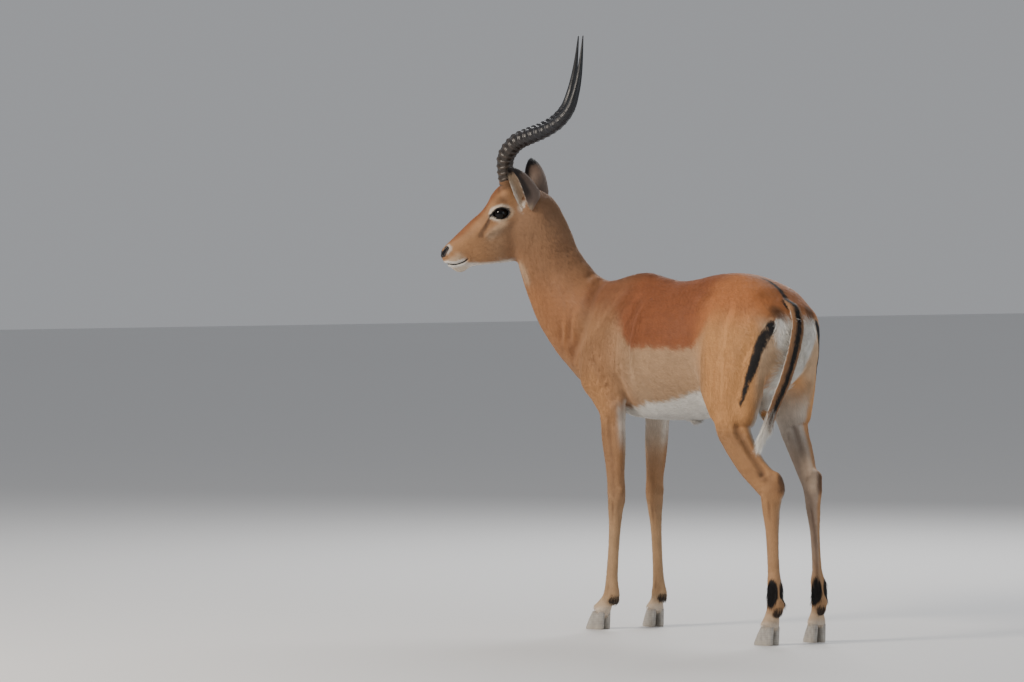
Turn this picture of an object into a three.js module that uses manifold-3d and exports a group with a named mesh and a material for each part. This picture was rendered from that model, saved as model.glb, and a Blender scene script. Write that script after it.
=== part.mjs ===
// A life-size standing impala ram, head turned to its left.
// Millimetres, +Z up. The animal faces -Y and its left side is +X. The origin is on the ground under the
// middle of the bounding box, and the eight hoof soles lie at Z = 0.
import * as THREE from 'three';
import { mergeVertices } from 'three/addons/utils/BufferGeometryUtils.js';
import Module from 'manifold-3d';

const wasm = await Module();
wasm.setup();

// ---------------------------------------------------------------- driving dimensions
const WITHERS = 902; // height of the withers
const STERNUM = 529; // height of the underside of the chest
const EYE_HEIGHT = 1050;
const HEAD_FORWARD = 623; // the point between the eyes, ahead of the middle of the trunk
const HEAD_LEFT = 172; // and to its left
const HEAD_TURN = 53.5; // degrees that the head is turned to the left
const HEAD_TILT = 28; // degrees that the head's long axis points down
const HEAD_ROLL = 1.8; // degrees that the crown leans to the left
const EYE_RADIUS = 19.5;
const EYE_SPACING = 35.5; // from the middle of the head to the centre of an eyeball
const HORN_RADIUS = 20.5; // at the base
const HORN_RIDGES = 19;
const HORN_RIDGE_DEPTH = 1.7;
const EAR_LENGTH = 150;
const EAR_WIDTH = 58;
const EAR_DEPTH = 54;
const EAR_WALL = 3.4;
const CORONET = 46; // height of the top of the hooves
const HOOF_LENGTH = 55;
const CLAW_WIDTH = 20;
const CLEFT = 4; // between the two claws of a hoof
const GAP = 0.35; // clearance between neighbouring pieces
const BLOCK = 4000; // edge of a block that stands for half of space
const TRUNK_SIDES = 18; // faces round each loft
const NECK_SIDES = 16;
const HEAD_SIDES = 16;
const LEG_SIDES = 12;
const HORN_SIDES = 10;
const TAIL_SIDES = 10;
const CLAW_SIDES = 12;
const NECK_STEPS = 2; // rings for each span of the neck

// ---------------------------------------------------------------- vectors
const at = (forward, left, up) => new THREE.Vector3(left, -forward, up);
const radians = THREE.MathUtils.degToRad;
const UP = at(0, 0, 1);

// ---------------------------------------------------------------- lofts
// A loft runs through stations. Each gives the centre of a section, how far its outline reaches over and
// under the centre and to each side, how much its top ("ridge") and bottom ("keel") narrow, the exponent of
// its superellipse ("square"), and how far its side direction turns from the animal's left towards its front
// ("yaw"). Sections lie square to the loft's path, unless a fixed "rise" direction is given for all of them.
const SIZES = ['over', 'under', 'side', 'ridge', 'keel', 'square', 'yaw'];
const REACHES = [3, 4, 5]; // the places of over, under and side in a row, after the centre
const YAW = 9;
const USUAL = { ridge: 0, keel: 0, square: 2, yaw: 0 };
const SMALLEST = 0.5; // a section never shrinks below this, so that the ends stay open rings under their fans

function valuesOf(station) {
  const full = { ...USUAL, ...station };
  return [...full.centre.toArray(), ...SIZES.map((name) => full[name])];
}

// A smooth curve through rows of values, each at its own distance along the chain.
function smoothRow(rows, places, s) {
  let i = 0;
  while (i < rows.length - 2 && s > places[i + 1]) i += 1;
  const span = places[i + 1] - places[i];
  const t = (s - places[i]) / span;
  const slope = (k, c) => {
    const a = Math.max(k - 1, 0);
    const b = Math.min(k + 1, rows.length - 1);
    return (rows[b][c] - rows[a][c]) / (places[b] - places[a]);
  };
  const t2 = t * t;
  const t3 = t2 * t;
  return rows[i].map(
    (v, c) =>
      (2 * t3 - 3 * t2 + 1) * v +
      (t3 - 2 * t2 + t) * span * slope(i, c) +
      (3 * t2 - 2 * t3) * rows[i + 1][c] +
      (t3 - t2) * span * slope(i + 1, c),
  );
}

function sectionPoint(row, axes, angle) {
  const [over, under, side, ridge, keel, square] = row.slice(3);
  const bend = (v) => Math.sign(v) * Math.abs(v) ** (2 / square);
  const up = bend(Math.sin(angle));
  const narrow = 1 - (up > 0 ? ridge : keel) * up * up;
  return new THREE.Vector3(row[0], row[1], row[2])
    .addScaledVector(axes.side, bend(Math.cos(angle)) * side * narrow)
    .addScaledVector(axes.up, up * (up > 0 ? over : under));
}

// Rings of points through the stations. "grow" makes the loft that much larger all round and at both ends.
function ringsOf(stations, around, perSpan, grow, rise) {
  const rows = stations.map(valuesOf);
  const places = [0];
  for (let i = 1; i < rows.length; i += 1) {
    places.push(places[i - 1] + stations[i].centre.distanceTo(stations[i - 1].centre));
  }
  const centreOf = (row) => new THREE.Vector3(row[0], row[1], row[2]);
  const last = (rows.length - 1) * perSpan;
  const rings = [];
  for (let k = 0; k <= last; k += 1) {
    const i = Math.min(Math.floor(k / perSpan), rows.length - 2);
    const s = places[i] + (k / perSpan - i) * (places[i + 1] - places[i]);
    const row = smoothRow(rows, places, s);
    for (const c of REACHES) row[c] = Math.max(row[c], SMALLEST) + grow;
    const before = smoothRow(rows, places, Math.max(s - 1, 0));
    const after = smoothRow(rows, places, Math.min(s + 1, places.at(-1)));
    const along = centreOf(after).sub(centreOf(before)).normalize();
    const yaw = radians(row[YAW]);
    const side = at(Math.sin(yaw), Math.cos(yaw), 0);
    side.addScaledVector(along, -side.dot(along)).normalize();
    const axes = rise ? { side: at(0, 1, 0), up: rise } : { side, up: along.clone().cross(side) };
    const end = k === 0 ? -grow : (k === last ? grow : 0);
    [row[0], row[1], row[2]] = centreOf(row).addScaledVector(along, end).toArray();
    const ring = [];
    for (let a = 0; a < around; a += 1) ring.push(sectionPoint(row, axes, (2 * Math.PI * a) / around));
    rings.push(ring);
  }
  return rings;
}

// A closed body over rings of equal length, with a flat fan at each end.
function bodyOver(rings) {
  const around = rings[0].length;
  const points = rings.flat();
  const faces = [];
  for (let r = 0; r + 1 < rings.length; r += 1) {
    for (let a = 0; a < around; a += 1) {
      const b = (a + 1) % around;
      const [p, q, s, t] = [r * around + a, r * around + b, (r + 1) * around + a, (r + 1) * around + b];
      faces.push([p, q, s], [q, t, s]);
    }
  }
  for (const [ring, turned] of [[0, true], [rings.length - 1, false]]) {
    const middle = new THREE.Vector3();
    rings[ring].forEach((p) => middle.addScaledVector(p, 1 / around));
    points.push(middle);
    for (let a = 0; a < around; a += 1) {
      const [p, q] = [ring * around + a, ring * around + ((a + 1) % around)];
      faces.push(turned ? [q, p, points.length - 1] : [p, q, points.length - 1]);
    }
  }
  return solidFrom(points, faces);
}

// ---------------------------------------------------------------- solids
// A closed body from points and triangles, turned to face out.
function solidFrom(points, faces) {
  let volume = 0;
  for (const [a, b, c] of faces) volume += points[a].dot(points[b].clone().cross(points[c]));
  const geometry = new THREE.BufferGeometry().setFromPoints(points);
  geometry.setIndex(faces.flatMap(([a, b, c]) => (volume < 0 ? [a, c, b] : [a, b, c])));
  return solidOf(geometry);
}

function solidOf(geometry) {
  const bare = new THREE.BufferGeometry().setAttribute('position', geometry.getAttribute('position'));
  if (geometry.index) bare.setIndex(geometry.index);
  const merged = mergeVertices(bare, 1e-3);
  return new wasm.Manifold(
    new wasm.Mesh({
      numProp: 3,
      vertProperties: merged.attributes.position.array,
      triVerts: new Uint32Array(merged.index.array),
    }),
  );
}

function geometryOf(solid) {
  const mesh = solid.getMesh();
  const geometry = new THREE.BufferGeometry();
  geometry.setAttribute('position', new THREE.BufferAttribute(mesh.vertProperties, 3));
  geometry.setIndex(new THREE.BufferAttribute(mesh.triVerts, 1));
  return geometry;
}

const loft = (stations, around, perSpan, grow = 0, rise = null) =>
  bodyOver(ringsOf(stations, around, perSpan, grow, rise));

// All of space on the side of a plane that its normal points to.
function beyond(point, normal) {
  const box = new THREE.BoxGeometry(BLOCK, BLOCK, BLOCK).translate(0, 0, BLOCK / 2 + GAP / 2);
  const turn = new THREE.Quaternion().setFromUnitVectors(UP, normal.clone().normalize());
  return solidOf(box.applyMatrix4(new THREE.Matrix4().compose(point, turn, new THREE.Vector3(1, 1, 1))));
}

const largestBody = (solid) =>
  solid.decompose().reduce((best, body) => (body.volume() > best.volume() ? body : best));

// ---------------------------------------------------------------- trunk
const trunkStation = (forward, axis, back, belly, side, ridge, keel, square = 2.15) => ({
  centre: at(forward, 0, axis),
  over: back - axis,
  under: axis - belly,
  side,
  ridge,
  keel,
  square,
});

const TRUNK = [
  trunkStation(-346, 760, 778, 735, 14, 0, 0),
  trunkStation(-339, 760, 796, 705, 42, 0, 0),
  trunkStation(-322, 762, 816, 672, 72, 0, 0.1, 2.3),
  trunkStation(-294, 762, 840, 642, 96, 0, 0.1, 2.4),
  trunkStation(-248, 762, 874, 612, 111, 0.02, 0.1, 2.5),
  trunkStation(-180, 757, 898, 580, 114, 0.16, 0.1, 2.3),
  trunkStation(-120, 748, 905, 560, 111, 0.28, 0.15, 2.2),
  trunkStation(-40, 736, 901, 545, 111, 0.34, 0.2),
  trunkStation(40, 722, 888, 534, 121, 0.34, 0.22),
  trunkStation(110, 714, 883, 530, 124, 0.38, 0.28),
  trunkStation(175, 712, 892, STERNUM, 117, 0.46, 0.34),
  trunkStation(235, 710, WITHERS, STERNUM + 1, 104, 0.56, 0.4),
  trunkStation(300, 712, 896, 536, 92, 0.56, 0.42),
  trunkStation(360, 712, 878, 556, 86, 0.5, 0.36),
  trunkStation(410, 704, 836, 580, 80, 0.3, 0.26),
  trunkStation(450, 696, 784, 606, 70, 0.2, 0.2),
  trunkStation(474, 688, 736, 636, 50, 0, 0),
  trunkStation(484, 684, 708, 656, 26, 0, 0),
];

// ---------------------------------------------------------------- neck
const neckStation = (forward, left, up, nape, throat, side, turn) => ({
  centre: at(forward, left, up),
  over: nape,
  under: throat,
  side,
  yaw: -turn,
  ridge: 0.3,
  keel: 0.15,
  square: 2.1,
});

const NECK = [
  neckStation(330, 2, 712, 130, 136, 76, 0),
  neckStation(425, 14, 766, 124, 142, 86, 8),
  neckStation(490, 34, 822, 100, 121, 76, 18),
  neckStation(524, 54, 876, 89, 100, 66, 28),
  neckStation(541, 74, 930, 80, 87, 58, 36),
  neckStation(546, 91, 985, 73, 83, 53, 44),
  neckStation(555, 106, 1036, 65, 76, 49, 50),
  neckStation(566, 117, 1076, 54, 50, 42, HEAD_TURN),
];

// ---------------------------------------------------------------- head
// The head is built in its own frame: the origin between the eyes, the nose towards -Y, its left side +X. Its
// stations run along the tilted axis from the back of the skull: "reach" along it, the bridge and the jaw
// square to it.
const HEAD_AXIS = at(Math.cos(radians(HEAD_TILT)), 0, -Math.sin(radians(HEAD_TILT)));
const HEAD_RISE = at(Math.sin(radians(HEAD_TILT)), 0, Math.cos(radians(HEAD_TILT)));

const headStation = (reach, axis, bridge, jaw, side, ridge, keel, square = 2.1) => ({
  centre: HEAD_AXIS.clone().multiplyScalar(reach).addScaledVector(HEAD_RISE, axis),
  over: bridge - axis,
  under: axis - jaw,
  side,
  ridge,
  keel,
  square,
});

const HEAD = [
  headStation(-98, 4, 20, -10, 14, 0, 0),
  headStation(-88, 2, 44, -44, 36, 0.1, 0.1),
  headStation(-60, 4, 60, -84, 46, 0.15, 0.3),
  headStation(-26, 6, 62, -108, 49, 0.2, 0.42),
  headStation(0, 6, 52, -121, 52, 0.28, 0.45),
  headStation(20, 0, 38, -126, 48, 0.3, 0.44),
  headStation(44, -10, 27, -120, 41, 0.3, 0.42),
  headStation(74, -22, 20, -108, 34, 0.25, 0.4),
  headStation(104, -30, 11, -96, 28.5, 0.15, 0.32),
  headStation(132, -36, 3, -86, 25, 0.1, 0.25),
  headStation(156, -40, -4, -88, 23.5, 0.1, 0.25),
  headStation(171, -38, -9, -79, 21.5, 0.1, 0.2),
  headStation(181, -34, -14, -58, 17, 0, 0),
  headStation(188, -30, -24, -40, 8, 0, 0),
];

const headPlace = new THREE.Matrix4()
  .makeTranslation(at(HEAD_FORWARD, HEAD_LEFT, EYE_HEIGHT))
  .multiply(new THREE.Matrix4().makeRotationZ(radians(HEAD_TURN)))
  .multiply(new THREE.Matrix4().makeRotationY(radians(HEAD_ROLL)));

const inHead = (solid) => solid.transform(headPlace.elements);
const mirrored = (point, hand) => new THREE.Vector3(point.x * hand, point.y, point.z);

// ---------------------------------------------------------------- horns
// Each horn rises from the forehead, sweeps back and out and then up to a smooth tip. Rings stand out round it.
const hornStation = (forward, left, up, radius) => ({ centre: at(forward, left, up), radius });

const HORN = [
  hornStation(-24, 23, 36, HORN_RADIUS - 2),
  hornStation(-18, 26, 70, HORN_RADIUS - 2),
  hornStation(-12, 33, 106, HORN_RADIUS - 1),
  hornStation(-14, 45, 145, HORN_RADIUS - 0.4),
  hornStation(-40, 68, 180, HORN_RADIUS - 0.8),
  hornStation(-74, 98, 197, HORN_RADIUS - 1.8),
  hornStation(-110, 126, 212, HORN_RADIUS - 3.4),
  hornStation(-144, 147, 234, HORN_RADIUS - 5.2),
  hornStation(-170, 160, 266, HORN_RADIUS - 7.6),
  hornStation(-184, 164, 306, HORN_RADIUS - 10.2),
  hornStation(-193, 161, 348, HORN_RADIUS - 12.8),
  hornStation(-199, 154, 394, HORN_RADIUS - 15.8),
  hornStation(-203, 147, 446, HORN_RADIUS - 19.3),
];
const RIDGED_SHARE = 0.66; // of the horn's length carries rings
const RIDGE_STEPS = 2; // rings of points for each ridge
const TIP_STEPS = 7; // rings of points along the smooth tip
const RIDGE_FADE = 0.25; // share of the horn over which its rings die away
const HORN_FLATNESS = 0.94; // its width over its depth

function horn(hand) {
  const rows = HORN.map(({ centre, radius }) => [...mirrored(centre, hand).toArray(), radius]);
  const places = [0];
  for (let i = 1; i < HORN.length; i += 1) {
    places.push(places[i - 1] + HORN[i].centre.distanceTo(HORN[i - 1].centre));
  }
  const stations = [];
  const ridged = HORN_RIDGES * RIDGE_STEPS;
  for (let k = 0; k <= ridged + TIP_STEPS; k += 1) {
    const beyondRings = ((k - ridged) / TIP_STEPS) * (1 - RIDGED_SHARE);
    const share = k <= ridged ? (k / ridged) * RIDGED_SHARE : RIDGED_SHARE + beyondRings;
    const [x, y, z, radius] = smoothRow(rows, places, share * places.at(-1));
    const fade = THREE.MathUtils.clamp((RIDGED_SHARE + 0.04 - share) / RIDGE_FADE, 0, 1);
    const ridge = k < ridged && k % RIDGE_STEPS === 1 ? HORN_RIDGE_DEPTH * fade : 0;
    const size = radius + ridge;
    stations.push({ centre: new THREE.Vector3(x, y, z), over: size, under: size, side: size * HORN_FLATNESS });
  }
  return loft(stations, HORN_SIDES, 1);
}

// ---------------------------------------------------------------- ears
// An ear is a cupped leaf. Its rows run from the root to the tip, and its wall thins towards the rim.
const EAR_ROWS = 9;
const EAR_COLUMNS = 8;
const EAR_RIM = 128; // degrees of the rim from the middle of the ear's back, at the root
const EAR_OPENS = 40; // and by how much it opens towards the tip
const EAR_LEAST = 1.2; // half width and depth left at the tip
const EAR_THINNEST = 0.4;

function ear(root, tip, opening) {
  const along = tip.clone().sub(root).normalize();
  const front = opening.clone().addScaledVector(along, -opening.dot(along)).normalize();
  const across = along.clone().cross(front);
  const sheet = (inset) => {
    const points = [];
    for (let r = 0; r <= EAR_ROWS; r += 1) {
      const s = r / EAR_ROWS;
      const width = (EAR_WIDTH / 2) * (0.62 + 0.75 * s) * (1 - s ** 2.4) ** 0.65 + EAR_LEAST;
      const depth = EAR_DEPTH * (0.66 + 0.45 * s) * (1 - s ** 2) ** 0.75 + EAR_LEAST;
      const closed = EAR_RIM - EAR_OPENS * s;
      for (let c = 0; c <= EAR_COLUMNS; c += 1) {
        const angle = radians(closed) * ((2 * c) / EAR_COLUMNS - 1);
        const rim = Math.abs((2 * c) / EAR_COLUMNS - 1);
        const wall = inset * EAR_WALL * (1 - 0.45 * rim ** 4) * (1 - 0.4 * s);
        const w = Math.max(width - wall, EAR_THINNEST);
        const d = Math.max(depth - wall, EAR_THINNEST);
        points.push(
          root
            .clone()
            .addScaledVector(along, s * EAR_LENGTH)
            .addScaledVector(across, w * Math.sin(angle))
            .addScaledVector(front, -d * (Math.cos(angle) - 0.05)),
        );
      }
    }
    return points;
  };
  const outer = sheet(0);
  const points = [...outer, ...sheet(1)];
  const columns = EAR_COLUMNS + 1;
  const faces = [];
  const quad = (a, b, c, d) => faces.push([a, b, c], [a, c, d]);
  for (let r = 0; r < EAR_ROWS; r += 1) {
    for (let c = 0; c < EAR_COLUMNS; c += 1) {
      const p = r * columns + c;
      const q = p + outer.length;
      quad(p, p + 1, p + columns + 1, p + columns);
      quad(q, q + columns, q + columns + 1, q + 1);
    }
    for (const [c, turned] of [[0, true], [EAR_COLUMNS, false]]) {
      const p = r * columns + c;
      const side = [p, p + columns, p + columns + outer.length, p + outer.length];
      quad(...(turned ? side : side.reverse()));
    }
  }
  for (const [r, turned] of [[0, false], [EAR_ROWS, true]]) {
    for (let c = 0; c < EAR_COLUMNS; c += 1) {
      const p = r * columns + c;
      const end = [p, p + outer.length, p + 1 + outer.length, p + 1];
      quad(...(turned ? end.reverse() : end));
    }
  }
  return solidFrom(points, faces);
}

const EARS = {
  left: { root: at(-90, 44, 2), tip: at(-14, 108, 124), opening: at(0.8, 0.55, -0.1) },
  right: { root: at(-98, -44, 4), tip: at(-82, -104, 126), opening: at(0.6, -0.75, 0.1) },
};

// ---------------------------------------------------------------- legs
// Each leg is one loft from within the trunk to the coronet. Its joints are given for each leg, and the
// sections lie between them: "share" of the way from one joint to the next, and the reach to the front, to the
// rear and to a side.
const legSection = (joint, share, front, rear, side, turn = 0, square = 2) => ({
  joint,
  share,
  front,
  rear,
  side,
  turn,
  square,
});

const FORE_SECTIONS = [
  legSection('blade', 0, 34, 36, 12),
  legSection('blade', 0.42, 62, 60, 34),
  legSection('blade', 0.85, 94, 80, 36),
  legSection('shoulder', 0.22, 96, 76, 34),
  legSection('shoulder', 0.6, 70, 58, 29),
  legSection('elbow', 0, 42, 43, 25),
  legSection('elbow', 0.4, 37, 39, 23),
  legSection('elbow', 0.72, 30, 30, 21),
  legSection('carpus', 0, 24, 23, 21, 4, 2.3),
  legSection('carpus', 0.14, 22, 21, 19.5, 8, 2.2),
  legSection('carpus', 0.3, 18, 18, 15.5, 10),
  legSection('carpus', 0.55, 16, 17, 13.5, 10),
  legSection('carpus', 0.82, 17, 19, 14.5, 10),
  legSection('fetlock', 0, 20, 25, 19, 10),
  legSection('fetlock', 0.42, 20, 21, 17.5, 10),
  legSection('fetlock', 0.8, 22, 21, 21, 10, 2.3),
  legSection('coronet', 0, 25, 23, 22.5, 10, 2.4),
];

const HIND_SECTIONS = [
  legSection('hip', 0, 60, 60, 24),
  legSection('hip', 0.35, 136, 124, 44, 0, 2.2),
  legSection('hip', 0.7, 144, 122, 48, 0, 2.2),
  legSection('thigh', 0, 132, 107, 46, 0, 2.1),
  legSection('thigh', 0.4, 106, 89, 42, 4),
  legSection('thigh', 0.75, 70, 66, 38, 8),
  legSection('stifle', 0, 50, 45, 33, 12),
  legSection('gaskin', 0, 40, 37, 26, 15),
  legSection('gaskin', 0.55, 37, 36, 21, 16),
  legSection('hock', -0.2, 35, 44, 19.5, 16),
  legSection('hock', 0, 33, 42, 20, 16),
  legSection('hock', 0.07, 29, 33, 20, 16),
  legSection('hock', 0.2, 25, 24, 18, 18),
  legSection('hock', 0.38, 19, 19, 12.5, 20),
  legSection('hock', 0.7, 17, 18, 12.5, 20),
  legSection('hock', 0.8, 18, 19, 18, 18),
  legSection('hock', 0.93, 18, 19, 18, 18),
  legSection('fetlock', 0, 20, 25, 18.5, 16),
  legSection('fetlock', 0.42, 20, 21, 17.5, 14),
  legSection('fetlock', 0.8, 22, 21, 21, 12, 2.3),
  legSection('coronet', 0, 25, 23, 22.5, 12, 2.4),
];

const FORELEGS = {
  left: {
    blade: at(250, 34, 838),
    shoulder: at(316, 78, 672),
    elbow: at(292, 73, 546),
    carpus: at(270, 76, 342),
    fetlock: at(289, 81, 86),
    coronet: at(322, 84, CORONET),
  },
  right: {
    blade: at(250, 34, 838),
    shoulder: at(316, 78, 672),
    elbow: at(292, 73, 546),
    carpus: at(302, 74, 338),
    fetlock: at(288, 76, 84),
    coronet: at(304, 77, CORONET),
  },
};

const HINDLEG = {
  hip: at(-190, 58, 838),
  thigh: at(-194, 82, 668),
  stifle: at(-213, 97, 517),
  gaskin: at(-257, 88, 444),
  hock: at(-311, 67, 378),
  fetlock: at(-331, 71, 98),
  coronet: at(-318, 75, CORONET),
};

function legStations(joints, sections, hand) {
  const names = Object.keys(joints);
  return sections.map(({ joint, share, front, rear, side, turn, square }) => {
    const k = names.indexOf(joint);
    const from = joints[joint];
    const to = joints[names[Math.min(k + (share < 0 ? -1 : 1), names.length - 1)]];
    const centre = mirrored(from.clone().lerp(to, Math.abs(share)), hand);
    return { centre, over: front, under: rear, side, yaw: -turn * hand, square };
  });
}

// ---------------------------------------------------------------- hooves
const SOLE_FORWARD = 12; // from the middle of the coronet to the middle of the sole
const HOOF_TURN = 10; // degrees that the toes point outwards
const CLAW_TOP = CORONET - GAP;
const TOE_TAPER = 0.34; // share of its width that a claw loses at the toe

// From the sole up: height, how far ahead of the coronet its middle lies, length, width and lean away from
// the cleft.
const CLAW_LEVELS = [
  { up: 0, ahead: SOLE_FORWARD, length: HOOF_LENGTH, width: CLAW_WIDTH, lean: 0 },
  { up: 5, ahead: SOLE_FORWARD - 0.5, length: HOOF_LENGTH + 1, width: CLAW_WIDTH + 0.6, lean: -0.2 },
  { up: 26, ahead: SOLE_FORWARD - 6, length: HOOF_LENGTH - 7, width: CLAW_WIDTH - 0.4, lean: -0.4 },
  { up: CLAW_TOP, ahead: SOLE_FORWARD - 12.5, length: HOOF_LENGTH - 17, width: CLAW_WIDTH - 1.6, lean: -0.6 },
];

function claw(joints, hand, side) {
  const turn = radians(HOOF_TURN) * hand;
  const middle = mirrored(joints.coronet, hand);
  const forward = at(Math.cos(turn), Math.sin(turn), 0);
  const outward = at(-Math.sin(turn), Math.cos(turn), 0);
  const blunt = (v, power) => Math.sign(v) * Math.abs(v) ** power;
  const ringAt = ({ up, ahead, length, width, lean }) => {
    const ring = [];
    for (let a = 0; a < CLAW_SIDES; a += 1) {
      const angle = (2 * Math.PI * a) / CLAW_SIDES;
      const along = blunt(Math.cos(angle), 0.85);
      const across = blunt(Math.sin(angle), 0.75);
      const taper = 1 - TOE_TAPER * Math.max(along, 0) ** 2;
      const point = middle.clone().setZ(up);
      point.addScaledVector(forward, ahead + (along * length) / 2);
      point.addScaledVector(outward, side * (CLEFT / 2 + lean + (width / 2) * (1 + across * taper)));
      ring.push(point);
    }
    return ring;
  };
  return bodyOver(CLAW_LEVELS.map(ringAt));
}

// ---------------------------------------------------------------- tail
const tailStation = (forward, left, up, wide, thick) => ({
  centre: at(forward, left, up),
  over: thick,
  under: thick,
  side: wide,
  yaw: 0,
});

const TAIL = [
  tailStation(-284, 0, 836, 14, 9),
  tailStation(-322, 4, 820, 17, 10),
  tailStation(-350, 15, 782, 20, 10),
  tailStation(-362, 32, 737, 21, 10),
  tailStation(-364, 47, 695, 21, 10),
  tailStation(-358, 62, 645, 21, 10),
  tailStation(-343, 77, 592, 19, 9),
  tailStation(-326, 87, 545, 15, 8),
  tailStation(-312, 92, 512, 9, 6),
  tailStation(-305, 94, 492, 2, 2),
];

// ---------------------------------------------------------------- materials
const finish = (color, roughness) => new THREE.MeshStandardMaterial({ color, roughness, metalness: 0 });
const COAT = finish(0xb8794a, 0.85);
const EAR_COAT = finish(0x8f7260, 0.85);
const HORN_KERATIN = finish(0x2c2a2c, 0.45);
const HOOF_KERATIN = finish(0xc9bfae, 0.6);
const EYE_GLOSS = finish(0x0a0908, 0.08);

// ---------------------------------------------------------------- assembly
const model = new THREE.Group();

function add(name, solid, material) {
  const mesh = new THREE.Mesh(geometryOf(largestBody(solid)), material);
  mesh.name = name;
  model.add(mesh);
}

const SCROTUM = { centre: at(-222, 0, 584), wide: 26, long: 30, deep: 46 };

const wholeLeg = ({ joints, sections, hand }, grow) =>
  loft(legStations(joints, sections, hand), LEG_SIDES, 1, grow);
const scrotum = (grow) =>
  solidOf(
    new THREE.SphereGeometry(1, 10, 8)
      .scale(SCROTUM.wide + grow, SCROTUM.long + grow, SCROTUM.deep + grow)
      .applyMatrix4(new THREE.Matrix4().makeTranslation(SCROTUM.centre)),
  );
const wholeBody = (grow) =>
  loft(TRUNK, TRUNK_SIDES, 1, grow, UP)
    .add(scrotum(grow))
    .add(loft(NECK, NECK_SIDES, NECK_STEPS, grow))
    .add(inHead(loft(HEAD, HEAD_SIDES, 1, grow, HEAD_RISE)));

const legs = [];
for (const [side, hand] of [['left', 1], ['right', -1]]) {
  legs.push({ name: `foreleg_${side}`, hand, joints: FORELEGS[side], sections: FORE_SECTIONS });
  legs.push({ name: `hindleg_${side}`, hand, joints: HINDLEG, sections: HIND_SECTIONS });
}
const belowCoronet = beyond(at(0, 0, CORONET - GAP / 2), at(0, 0, -1));
const clearBody = wholeBody(GAP);

let body = wholeBody(0);
let tail = loft(TAIL, TAIL_SIDES, 1).subtract(clearBody);
for (const leg of legs) {
  body = body.subtract(wholeLeg(leg, GAP));
  tail = tail.subtract(wholeLeg(leg, GAP));
  add(leg.name, wholeLeg(leg, 0).subtract(belowCoronet), COAT);
  for (const [place, side] of [['inner', -1], ['outer', 1]]) {
    const hoof = claw(leg.joints, leg.hand, side * leg.hand);
    add(`hoof_${leg.name.replace('leg', '')}_${place}`, hoof, HOOF_KERATIN);
  }
}

for (const [side, hand] of [['left', 1], ['right', -1]]) {
  const ball = (radius) => {
    const sphere = new THREE.SphereGeometry(radius, 16, 10).translate(EYE_SPACING * hand, 0, 0);
    return inHead(solidOf(sphere));
  };
  const { root, tip, opening } = EARS[side];
  body = body.subtract(ball(EYE_RADIUS + GAP));
  add(`eye_${side}`, ball(EYE_RADIUS), EYE_GLOSS);
  add(`horn_${side}`, inHead(horn(hand)).subtract(clearBody), HORN_KERATIN);
  add(`ear_${side}`, inHead(ear(root, tip, opening)).subtract(clearBody), EAR_COAT);
}

// The body is parted at the base of the neck and behind the jaw.
const NECK_BASE = [at(415, 0, 768), at(235, 0, 80)];
const THROAT = [at(-88, 0, 4).applyMatrix4(headPlace), at(185, 0, 66).transformDirection(headPlace)];
const aheadOf = (plane) => beyond(plane[0], plane[1]);
const behindOf = (plane) => beyond(plane[0], plane[1].clone().negate());
add('trunk', body.intersect(behindOf(NECK_BASE)), COAT);
add('neck', body.intersect(aheadOf(NECK_BASE)).intersect(behindOf(THROAT)), COAT);
add('head', body.intersect(aheadOf(NECK_BASE)).intersect(aheadOf(THROAT)), COAT);
add('tail', tail, COAT);

const box = new THREE.Box3().setFromObject(model);
const shift = box.getCenter(new THREE.Vector3()).setZ(0).negate();
model.children.forEach((mesh) => mesh.geometry.translate(shift.x, shift.y, 0));

export default model;
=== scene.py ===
"""Looks of a life-size museum model of a standing impala ram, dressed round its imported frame.

Sizes are in millimetres in the animal's own frame (+X its left, -Y ahead of it, +Z up, origin on the ground under
the middle of the trunk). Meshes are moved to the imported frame, in metres, as they are made.
"""
import logging
import math
from dataclasses import dataclass, field
from enum import IntEnum

import bpy
import numpy as np
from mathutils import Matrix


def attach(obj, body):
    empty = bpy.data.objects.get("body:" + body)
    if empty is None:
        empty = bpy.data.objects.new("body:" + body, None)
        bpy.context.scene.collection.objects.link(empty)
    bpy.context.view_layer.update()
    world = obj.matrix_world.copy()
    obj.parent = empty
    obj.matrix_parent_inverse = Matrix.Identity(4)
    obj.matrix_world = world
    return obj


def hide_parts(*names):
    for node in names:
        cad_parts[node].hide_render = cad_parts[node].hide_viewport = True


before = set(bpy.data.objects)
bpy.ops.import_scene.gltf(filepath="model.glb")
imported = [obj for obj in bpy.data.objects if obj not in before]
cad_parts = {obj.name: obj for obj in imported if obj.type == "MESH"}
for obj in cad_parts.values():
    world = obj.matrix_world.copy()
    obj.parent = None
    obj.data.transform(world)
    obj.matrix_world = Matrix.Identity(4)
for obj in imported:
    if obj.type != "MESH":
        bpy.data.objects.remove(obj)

import openvdb as vdb
from mathutils import Matrix, Vector

LOG = logging.getLogger("impala")
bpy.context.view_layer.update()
SHIFT = np.array([-83.614, 176.303, 0.0])  # from the animal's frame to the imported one
METRE = 0.001
SEED = 7


# ---------------------------------------------------------------- vectors and curves
def at(forward: float, left: float, up: float) -> np.ndarray:
    """A point or direction from how far it lies ahead, to the animal's left, and up."""
    return np.array([left, -forward, up], float)


def unit(v: np.ndarray) -> np.ndarray:
    """The rows of v at length one."""
    return v / np.maximum(np.linalg.norm(v, axis=-1, keepdims=True), 1e-9)


def ramp(v: np.ndarray, low: float, high: float) -> np.ndarray:
    """A smooth step from 0 at low to 1 at high, which may lie either way round."""
    t = np.clip((v - low) / (high - low), 0.0, 1.0)
    return t * t * (3.0 - 2.0 * t)


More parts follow.
